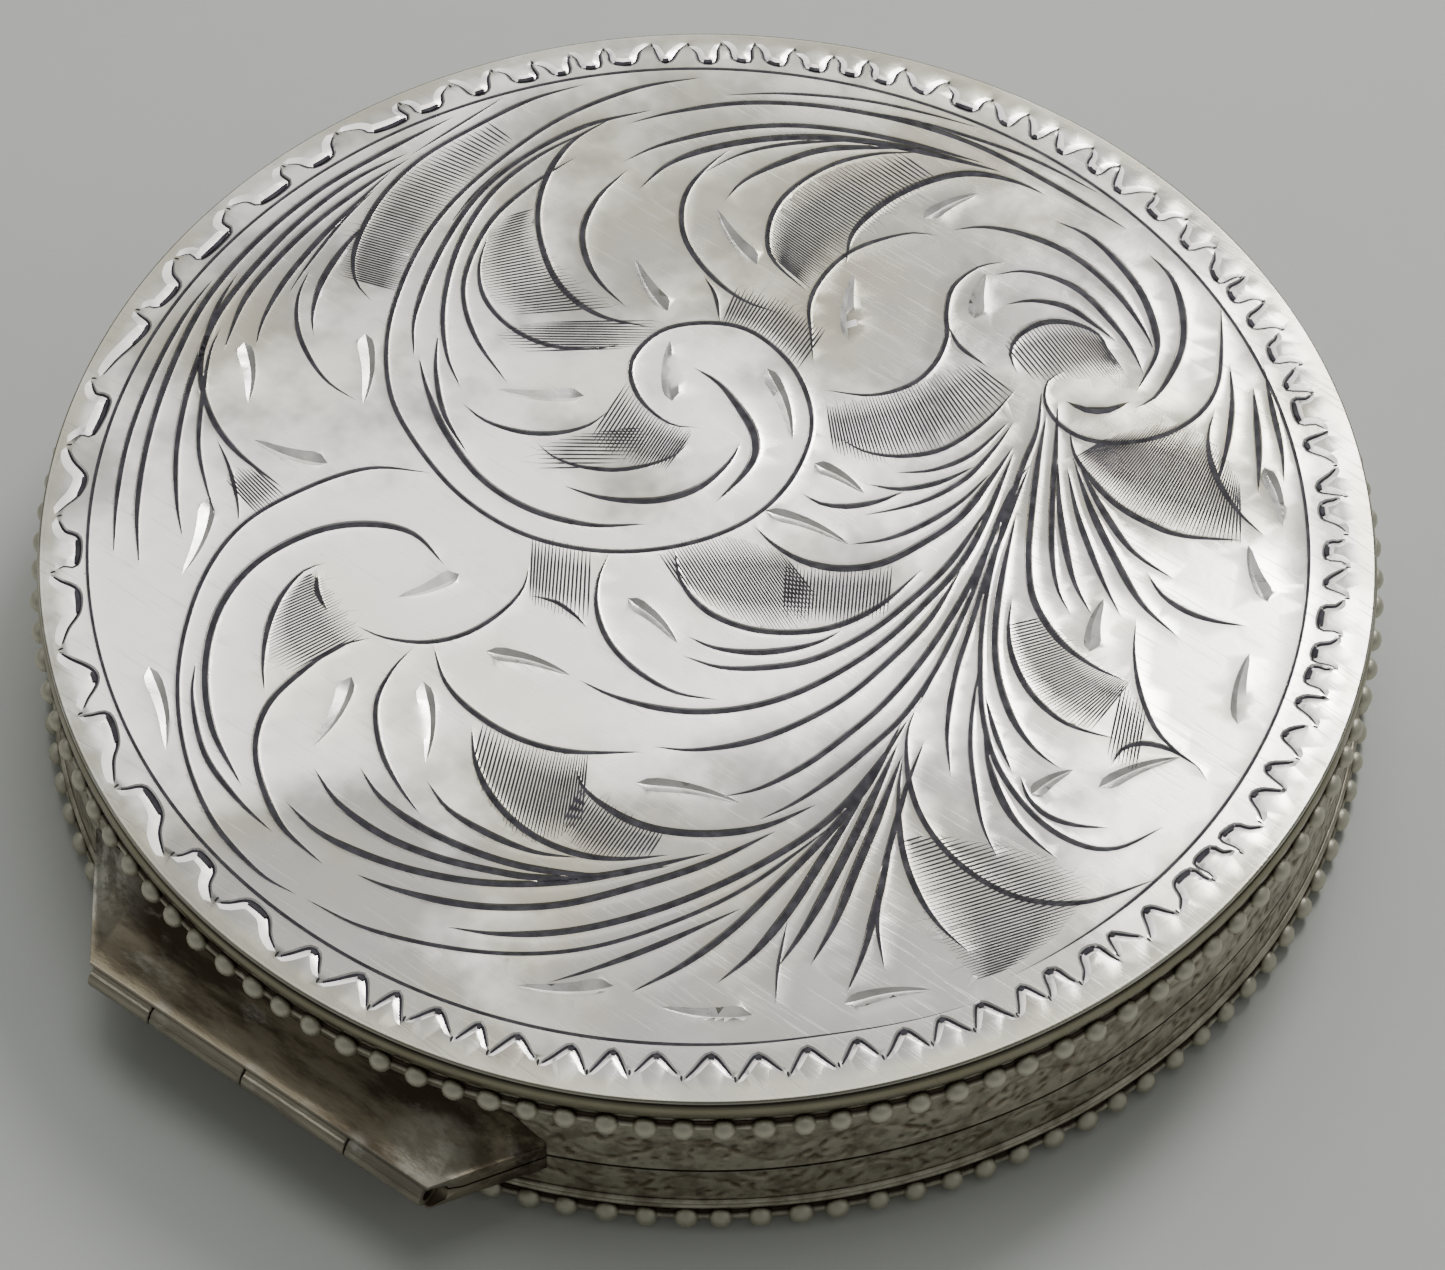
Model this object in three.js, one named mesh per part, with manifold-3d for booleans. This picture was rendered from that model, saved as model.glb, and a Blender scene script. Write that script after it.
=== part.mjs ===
// Round silver pill box with a hinged lid, engraved top, beaded edges and a box-shaped hinge lug.
// Millimetres, +Z up. The origin is the centre of the underside. The hinge is at +Y, its axis along X,
// and the side that opens is at -Y.
import * as THREE from "three";
import { mergeVertices } from "three/addons/utils/BufferGeometryUtils.js";
import Module from "manifold-3d";

// ---- driving dimensions ----
const BOX_HEIGHT = 8.6;
const BEAD_OUTER_RADIUS = 26.0;
const WALL_RADIUS = 25.36;
const SHEET = 0.5;
const SEAM_HEIGHT = 3.56;
const SEAM_GAP = 0.12;
const FACETS = 96;
const JOINT_GAP = 0.02; // soldered neighbours
const RUNNING_GAP = 0.08; // lid over the inner rim

// lid plate: flat top, rolled shoulder, short skirt outside the wall
const FLAT_TOP_RADIUS = 25.32;
const SHOULDER_RADIUS = 25.64;
const SHOULDER_DROP = 0.3;
const SKIRT_DEPTH = 1.3;

// side bands and inner rim
const LID_WALL_THICKNESS = 0.4;
const BASE_WALL_THICKNESS = 0.46;
const BEZEL_THICKNESS = 0.38;
const BEZEL_TOP = 4.75;
const PLATE_EDGE_ROUND = 0.15;

// beaded wires
const BEAD_COUNT = 112;
const BEAD_HALF_HEIGHT = 0.43;
const LID_BEAD_HEIGHT = 6.75;
const BASE_BEAD_HEIGHT = 0.58;
const NECK_PROUD = 0.22;
const NECK_HALF_HEIGHT = 0.22;

// double moulding on the base
const RIDGE_BOTTOM = 1.08;
const RIDGE_TOP = 1.6;
const RIDGE_PROUD = 0.22;
const RIDGE_VALLEY = 0.1;

// hinge
const HINGE_Y = 27.05;
const BARREL_RADIUS = 0.58;
const BORE_RADIUS = 0.3;
const PIN_RADIUS = 0.27;
const PIN_HALF_LENGTH = 7.4;
const BARREL_HALF_LENGTH = 7.9;
const KNUCKLE_LENGTHS = [3.55, 4.9, 4.4, 2.95]; // from -X to +X: base, lid, base, lid
const KNUCKLE_GAP = 0.06;
const KNUCKLE_FACETS = 16;
const GROOVE_RADIUS = 0.62;

// hinge lug, seen from above: a straight edge over the barrel and two slanted ends
const LUG_EDGE_Y = 27.25;
const LUG_EDGE_HALF = 8.0;
const LUG_ROOT_LEFT = 11.8; // on the +X side
const LUG_ROOT_RIGHT = 10.4; // on the -X side
const LUG_ROOT_INSET = 0.1;
const LUG_EDGE_RISE = 0.74;
const LUG_LID_RISE = 2.55;
const LUG_BASE_DROP = 1.72;
const COVE_STEPS = 5;
const COVE_POWER = 1.6;
const COVE_END_SLOPE = 0.95;

// thumb lip at the front of the lid
const THUMB_HALF_ANGLE = THREE.MathUtils.degToRad(7);
const THUMB_REACH = 1.5;
const THUMB_BOTTOM = 3.7;
const THUMB_THICKNESS = 0.6;

// ---- worked out from the above ----
const LID_BOTTOM = SEAM_HEIGHT + SEAM_GAP / 2;
const BASE_TOP = SEAM_HEIGHT - SEAM_GAP / 2;
const LID_WALL_INNER = WALL_RADIUS - LID_WALL_THICKNESS;
const BASE_WALL_INNER = WALL_RADIUS - BASE_WALL_THICKNESS;
const BEZEL_OUTER = LID_WALL_INNER - RUNNING_GAP;
const BEZEL_INNER = BEZEL_OUTER - BEZEL_THICKNESS;
const LID_UNDERSIDE = BOX_HEIGHT - SHEET;
const BEAD_BACK = WALL_RADIUS + 2 * JOINT_GAP;

const wasm = await Module();
wasm.setup();

// ---- materials ----
function silver(name, color, roughness) {
  return new THREE.MeshStandardMaterial({ name, color, roughness, metalness: 1 });
}
const polished = silver("polished_silver", 0xc9c8c4, 0.28);
const chased = silver("chased_silver", 0x9a958a, 0.42);
const tarnished = silver("tarnished_silver", 0x7d7160, 0.45);
const inner = silver("inner_silver", 0xc2bcae, 0.35);

// ---- helpers ----
function toManifold(geometry) {
  const bare = geometry.clone();
  bare.deleteAttribute("normal");
  bare.deleteAttribute("uv");
  const merged = mergeVertices(bare, 1e-5);
  return new wasm.Manifold(new wasm.Mesh({
    numProp: 3,
    vertProperties: merged.attributes.position.array,
    triVerts: new Uint32Array(merged.index.array),
  }));
}

function toGeometry(solid) {
  const mesh = solid.getMesh();
  const geometry = new THREE.BufferGeometry();
  geometry.setAttribute("position", new THREE.BufferAttribute(mesh.vertProperties, 3));
  geometry.setIndex(new THREE.BufferAttribute(mesh.triVerts, 1));
  geometry.computeVertexNormals();
  return geometry;
}

// profile: [radius, height] pairs, anticlockwise, starting and ending on the axis or closed on itself
function turned(profile, facets = FACETS) {
  const points = profile.map(([radius, height]) => new THREE.Vector2(radius, height));
  return new THREE.LatheGeometry(points, facets).rotateX(Math.PI / 2);
}

function closedRing(profile) {
  return turned([...profile, profile[0]]);
}

// a loft through sections that all have the same number of points
function loft(sections, closed) {
  const size = sections[0].length;
  const positions = sections.flat().flatMap((point) => [point.x, point.y, point.z]);
  const index = [];
  const spans = closed ? sections.length : sections.length - 1;
  for (let i = 0; i < spans; i += 1) {
    const next = (i + 1) % sections.length;
    for (let j = 0; j < size; j += 1) {
      const up = (j + 1) % size;
      const a = i * size + j;
      const b = i * size + up;
      const c = next * size + up;
      const d = next * size + j;
      index.push(a, d, c, a, c, b);
    }
  }
  if (!closed) {
    const last = (sections.length - 1) * size;
    for (let j = 1; j < size - 1; j += 1) {
      index.push(0, j, j + 1);
      index.push(last, last + j + 1, last + j);
    }
  }
  const geometry = new THREE.BufferGeometry();
  geometry.setAttribute("position", new THREE.Float32BufferAttribute(positions, 3));
  geometry.setIndex(index);
  geometry.computeVertexNormals();
  return geometry;
}

function barAlongX(radius, from, to, facets = KNUCKLE_FACETS) {
  return new THREE.CylinderGeometry(radius, radius, to - from, facets)
    .rotateZ(Math.PI / 2)
    .translate((from + to) / 2, HINGE_Y, SEAM_HEIGHT);
}

// ---- round parts ----
function basePlate() {
  return turned([
    [0, 0],
    [WALL_RADIUS - PLATE_EDGE_ROUND, 0],
    [WALL_RADIUS, PLATE_EDGE_ROUND],
    [WALL_RADIUS, SHEET],
    [0, SHEET],
  ]);
}

function baseWall() {
  const bottom = SHEET + JOINT_GAP;
  return closedRing([
    [BASE_WALL_INNER, bottom],
    [WALL_RADIUS, bottom],
    [WALL_RADIUS, BASE_TOP],
    [BASE_WALL_INNER, BASE_TOP],
  ]);
}

function baseBezel() {
  const bottom = SHEET + JOINT_GAP;
  const lead = 0.12;
  return closedRing([
    [BEZEL_INNER, bottom],
    [BEZEL_OUTER, bottom],
    [BEZEL_OUTER, BEZEL_TOP - lead],
    [BEZEL_OUTER - lead, BEZEL_TOP],
    [BEZEL_INNER, BEZEL_TOP],
  ]);
}

function baseRidgeWire() {
  const back = WALL_RADIUS + JOINT_GAP;
  const height = RIDGE_TOP - RIDGE_BOTTOM;
  return closedRing([
    [back, RIDGE_BOTTOM],
    [back + RIDGE_PROUD, RIDGE_BOTTOM + height / 4],
    [back + RIDGE_VALLEY, RIDGE_BOTTOM + height / 2],
    [back + RIDGE_PROUD, RIDGE_TOP - height / 4],
    [back, RIDGE_TOP],
  ]);
}

function lidPlate() {
  const skirtInner = WALL_RADIUS + JOINT_GAP;
  const cornerRise = 0.12;
  const cornerIn = 0.15;
  return turned([
    [0, LID_UNDERSIDE],
    [skirtInner, LID_UNDERSIDE],
    [skirtInner, BOX_HEIGHT - SKIRT_DEPTH],
    [SHOULDER_RADIUS, BOX_HEIGHT - SKIRT_DEPTH],
    [SHOULDER_RADIUS, BOX_HEIGHT - SHOULDER_DROP],
    [SHOULDER_RADIUS - cornerIn, BOX_HEIGHT - cornerRise],
    [FLAT_TOP_RADIUS, BOX_HEIGHT],
    [0, BOX_HEIGHT],
  ]);
}

function lidWall() {
  const top = LID_UNDERSIDE - JOINT_GAP;
  return closedRing([
    [LID_WALL_INNER, LID_BOTTOM],
    [WALL_RADIUS, LID_BOTTOM],
    [WALL_RADIUS, top],
    [LID_WALL_INNER, top],
  ]);
}

// half-round wire whose section swells into a bead and narrows to a neck
function beadSection(angle, proud, halfHeight, height) {
  const outline = [
    [0, -1],
    [0.75, -0.7],
    [1, 0],
    [0.75, 0.7],
    [0, 1],
  ];
  return outline.map(([out, up]) => {
    const radius = BEAD_BACK + out * proud;
    return new THREE.Vector3(radius * Math.cos(angle), radius * Math.sin(angle), height + up * halfHeight);
  });
}

function beading(height) {
  const steps = BEAD_COUNT * 2;
  const sections = [];
  for (let step = 0; step < steps; step += 1) {
    const angle = (step / steps) * 2 * Math.PI;
    const isBead = step % 2 === 0;
    const proud = isBead ? BEAD_OUTER_RADIUS - BEAD_BACK : NECK_PROUD;
    const halfHeight = isBead ? BEAD_HALF_HEIGHT : NECK_HALF_HEIGHT;
    sections.push(beadSection(angle, proud, halfHeight, height));
  }
  return loft(sections, true);
}

// ---- hinge ----
function lugEdgeY(x) {
  const past = Math.max(0, Math.abs(x) - LUG_EDGE_HALF);
  const root = x > 0 ? LUG_ROOT_LEFT : LUG_ROOT_RIGHT;
  const wallY = Math.sqrt(WALL_RADIUS ** 2 - root ** 2);
  const slope = (LUG_EDGE_Y - wallY) / (root - LUG_EDGE_HALF);
  return LUG_EDGE_Y - past * slope;
}

// one upright slice of a hinge leaf: sign is 1 above the seam and -1 below it
function leafSection(x, sign, fullRise) {
  const wallY = Math.sqrt(WALL_RADIUS ** 2 - x ** 2);
  const edgeY = lugEdgeY(x);
  const width = edgeY - wallY;
  const rise = Math.min(fullRise - LUG_EDGE_RISE, COVE_END_SLOPE * width);
  const seam = SEAM_HEIGHT + (sign * SEAM_GAP) / 2;
  const insideY = wallY - 0.4;
  const edgeZ = SEAM_HEIGHT + sign * LUG_EDGE_RISE;
  const points = [new THREE.Vector3(x, insideY, seam), new THREE.Vector3(x, edgeY, seam)];
  for (let step = 0; step <= COVE_STEPS; step += 1) {
    const inward = step / COVE_STEPS;
    const z = edgeZ + sign * rise * inward ** COVE_POWER;
    points.push(new THREE.Vector3(x, edgeY - width * inward, z));
  }
  points.push(new THREE.Vector3(x, insideY, edgeZ + sign * rise));
  return sign > 0 ? points.reverse() : points;
}

function leafStations() {
  const stations = [];
  for (let x = -LUG_EDGE_HALF; x <= LUG_EDGE_HALF + 1e-9; x += LUG_EDGE_HALF / 4) stations.push(x);
  for (const share of [0.35, 0.7, 1]) {
    stations.push(LUG_EDGE_HALF + (LUG_ROOT_LEFT - LUG_ROOT_INSET - LUG_EDGE_HALF) * share);
    stations.unshift(-LUG_EDGE_HALF - (LUG_ROOT_RIGHT - LUG_ROOT_INSET - LUG_EDGE_HALF) * share);
  }
  return stations;
}

function knuckleSpans() {
  let from = -BARREL_HALF_LENGTH;
  return KNUCKLE_LENGTHS.map((length) => {
    const span = [from + KNUCKLE_GAP / 2, from + length - KNUCKLE_GAP / 2];
    from += length;
    return span;
  });
}

// a leaf is cut back from the round wall, and grooved for the barrel: close on its own knuckles
// and with running clearance where the other body's knuckles turn
function hingeLeaf(sign, fullRise, ownKnuckles) {
  const sections = leafStations().map((x) => leafSection(x, sign, fullRise));
  let solid = toManifold(loft(sections, false));
  const wallCut = turned([
    [0, -1],
    [WALL_RADIUS + JOINT_GAP, -1],
    [WALL_RADIUS + JOINT_GAP, BOX_HEIGHT],
    [0, BOX_HEIGHT],
  ]);
  solid = solid.subtract(toManifold(wallCut));
  knuckleSpans().forEach(([from, to], order) => {
    const own = ownKnuckles.includes(order);
    const radius = own ? BARREL_RADIUS + JOINT_GAP : GROOVE_RADIUS;
    const start = order === 0 ? -LUG_ROOT_LEFT : from - KNUCKLE_GAP;
    const end = order === KNUCKLE_LENGTHS.length - 1 ? LUG_ROOT_LEFT : to + KNUCKLE_GAP;
    solid = solid.subtract(toManifold(barAlongX(radius, start, end)));
  });
  return toGeometry(solid);
}

function knuckle(order) {
  const [from, to] = knuckleSpans()[order];
  const tube = toManifold(barAlongX(BARREL_RADIUS, from, to));
  return toGeometry(tube.subtract(toManifold(barAlongX(BORE_RADIUS, from - 1, to + 1))));
}

function hingePin() {
  return barAlongX(PIN_RADIUS, -PIN_HALF_LENGTH, PIN_HALF_LENGTH);
}

// ---- thumb lip ----
function thumbPiece() {
  const front = -Math.PI / 2;
  const root = WALL_RADIUS + 3 * JOINT_GAP;
  const tip = WALL_RADIUS + THUMB_REACH;
  const side = front + THUMB_HALF_ANGLE;
  const other = front - THUMB_HALF_ANGLE;
  const shape = new THREE.Shape();
  shape.moveTo(root * Math.cos(other), root * Math.sin(other));
  shape.absarc(0, 0, root, other, side, false);
  shape.bezierCurveTo(
    root * Math.cos(side) - 0.9, tip * Math.sin(side) + 0.35,
    1.3, -tip,
    0, -tip,
  );
  shape.bezierCurveTo(
    -1.3, -tip,
    root * Math.cos(other) + 0.9, tip * Math.sin(other) + 0.35,
    root * Math.cos(other), root * Math.sin(other),
  );
  const lip = new THREE.ExtrudeGeometry(shape, { depth: THUMB_THICKNESS, bevelEnabled: false, curveSegments: 8 });
  return lip.translate(0, 0, THUMB_BOTTOM);
}

// ---- assembly ----
function piece(name, geometry, material) {
  const mesh = new THREE.Mesh(geometry, material);
  mesh.name = name;
  return mesh;
}

const base = new THREE.Group();
base.add(
  piece("base_plate", basePlate(), polished),
  piece("base_wall", baseWall(), chased),
  piece("base_ridge_wire", baseRidgeWire(), chased),
  piece("base_beading", beading(BASE_BEAD_HEIGHT), chased),
  piece("base_bezel", baseBezel(), inner),
  piece("base_hinge_leaf", hingeLeaf(-1, LUG_BASE_DROP, [0, 2]), tarnished),
  piece("base_knuckle_end", knuckle(0), tarnished),
  piece("base_knuckle_inner", knuckle(2), tarnished),
  piece("hinge_pin", hingePin(), tarnished),
);

const lid = new THREE.Group();
lid.add(
  piece("lid_plate", lidPlate(), polished),
  piece("lid_wall", lidWall(), chased),
  piece("lid_beading", beading(LID_BEAD_HEIGHT), chased),
  piece("lid_hinge_leaf", hingeLeaf(1, LUG_LID_RISE, [1, 3]), tarnished),
  piece("lid_knuckle_inner", knuckle(1), tarnished),
  piece("lid_knuckle_end", knuckle(3), tarnished),
  piece("lid_thumb_piece", thumbPiece(), polished),
);

const box = new THREE.Group();
box.add(base, lid);
export default box;
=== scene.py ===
import math
import random

import bpy
from mathutils import Matrix, Vector, geometry

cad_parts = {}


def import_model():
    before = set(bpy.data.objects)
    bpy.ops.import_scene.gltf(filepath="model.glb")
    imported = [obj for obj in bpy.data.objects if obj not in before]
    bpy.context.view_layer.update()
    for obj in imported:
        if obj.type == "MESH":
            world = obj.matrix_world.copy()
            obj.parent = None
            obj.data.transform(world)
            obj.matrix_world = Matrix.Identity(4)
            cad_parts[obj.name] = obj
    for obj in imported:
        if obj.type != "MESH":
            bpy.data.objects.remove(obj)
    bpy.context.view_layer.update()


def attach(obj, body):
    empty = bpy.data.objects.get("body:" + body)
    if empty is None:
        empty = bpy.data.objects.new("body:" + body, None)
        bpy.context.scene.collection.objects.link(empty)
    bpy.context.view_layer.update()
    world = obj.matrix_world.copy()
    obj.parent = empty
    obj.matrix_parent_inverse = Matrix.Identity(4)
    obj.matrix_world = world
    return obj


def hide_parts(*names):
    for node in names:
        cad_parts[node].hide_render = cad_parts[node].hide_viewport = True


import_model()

MM = 0.001

# ---- sizes in millimetres, the same as the CAD part's ----
TOP = 8.6
FLAT_RADIUS = 25.15
UNDERSIDE = 8.1
SKIRT_BOTTOM = 7.3
WALL_RADIUS = 25.36
SEAM = 3.56
BEAD_COUNT = 112
HINGE_Y = 27.05
BARREL_RADIUS = 0.58
BORE_RADIUS = 0.3
KNUCKLES = [(-7.87, -4.38), (-4.32, 0.52), (0.58, 4.92), (4.98, 7.87)]  # base, lid, base, lid
LUG_EDGE_Y = 27.25
LUG_EDGE_HALF = 8.0
LUG_ROOTS = (10.4, 11.8)  # how far from the middle the lug meets the wall, at -X and at +X

# ---- how the engraving is read and cut ----
LINE_WEIGHT = 1.68  # the listed lines are cut this many times as wide as they are listed
LINE_DEPTH = 0.8  # a line's depth for each millimetre of its half-width
BURR_REACH = 1.9  # the raised edge of a cut ends this many half-widths from its middle
ART_TURN = math.radians(217)  # the engraving is described as it is read from the hinge corner
rng = random.Random(7)

# Each line is a width and the points along it, in millimetres from the lid's centre. The first number of a
# point is to the right and the second is away from the eye, as the lid is seen from the hinge corner.
SCROLLS = [
    # large scroll that sweeps down the left and curls into the middle eye
    (0.13, [(-0.3, 22.95), (-3, 22.3), (-6, 20.7), (-8.5, 18.4), (-10.4, 16), (-11.7, 13.3), (-12.5, 10),
            (-12.4, 7), (-11.5, 4.6), (-9.5, 1.7), (-7, -0.2), (-4, -1.0), (-1, -0.7), (1.5, 0.5),
            (3.2, 2.5), (4.0, 5.2), (3.4, 7.8), (1.8, 9.7), (0, 10.2), (-1.9, 9.75), (-3, 8.2), (-2.7, 6.5),
            (-1.5, 5.2), (-0.3, 5.0)]),
    # spine of the lower left scroll
    (0.13, [(-10.6, 2.75), (-13, 2.95), (-15.5, 1.9), (-17.8, 0.1), (-19.2, -2.7), (-19.8, -6.5),
            (-19.4, -10.2), (-18.2, -13.4), (-16.4, -15.7), (-14.9, -16.75)]),
    (0.2, [(-9.95, -1.7), (-11.2, -0.2), (-13, 0.25), (-15, -0.15), (-17.1, -1.6), (-18.4, -3.8),
           (-18.8, -6.5), (-18.4, -9.3), (-17.15, -11.95)]),
    (0.14, [(-13.2, -4.55), (-12.1, -5.1), (-10.5, -5.3), (-9, -4.85), (-7.7, -3.8), (-6.95, -2.7),
            (-6.75, -1.5)]),
    # right hand scroll and its hook
    (0.13, [(13.9, 7.9), (13.2, 7.4), (13.05, 6.3), (13.6, 5.2), (14.6, 4.5), (16, 4.35), (17.6, 4.75),
            (19, 5.8), (19.75, 7.2), (20.0, 9), (20.1, 11.4)]),
    (0.13, [(11.75, 13.4), (10.6, 13.1), (9.6, 12.1), (9.3, 10.8), (9.3, 9.6), (8.8, 8.2), (7.8, 7.15),
            (6.3, 6.65), (4.5, 6.9)]),
    (0.12, [(9.1, 14.7), (8.1, 14.85), (6.8, 14.5), (5.5, 13.8), (4.5, 12.6), (3.95, 11.2), (4.0, 9.6),
            (4.1, 8.2)]),
]
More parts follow.
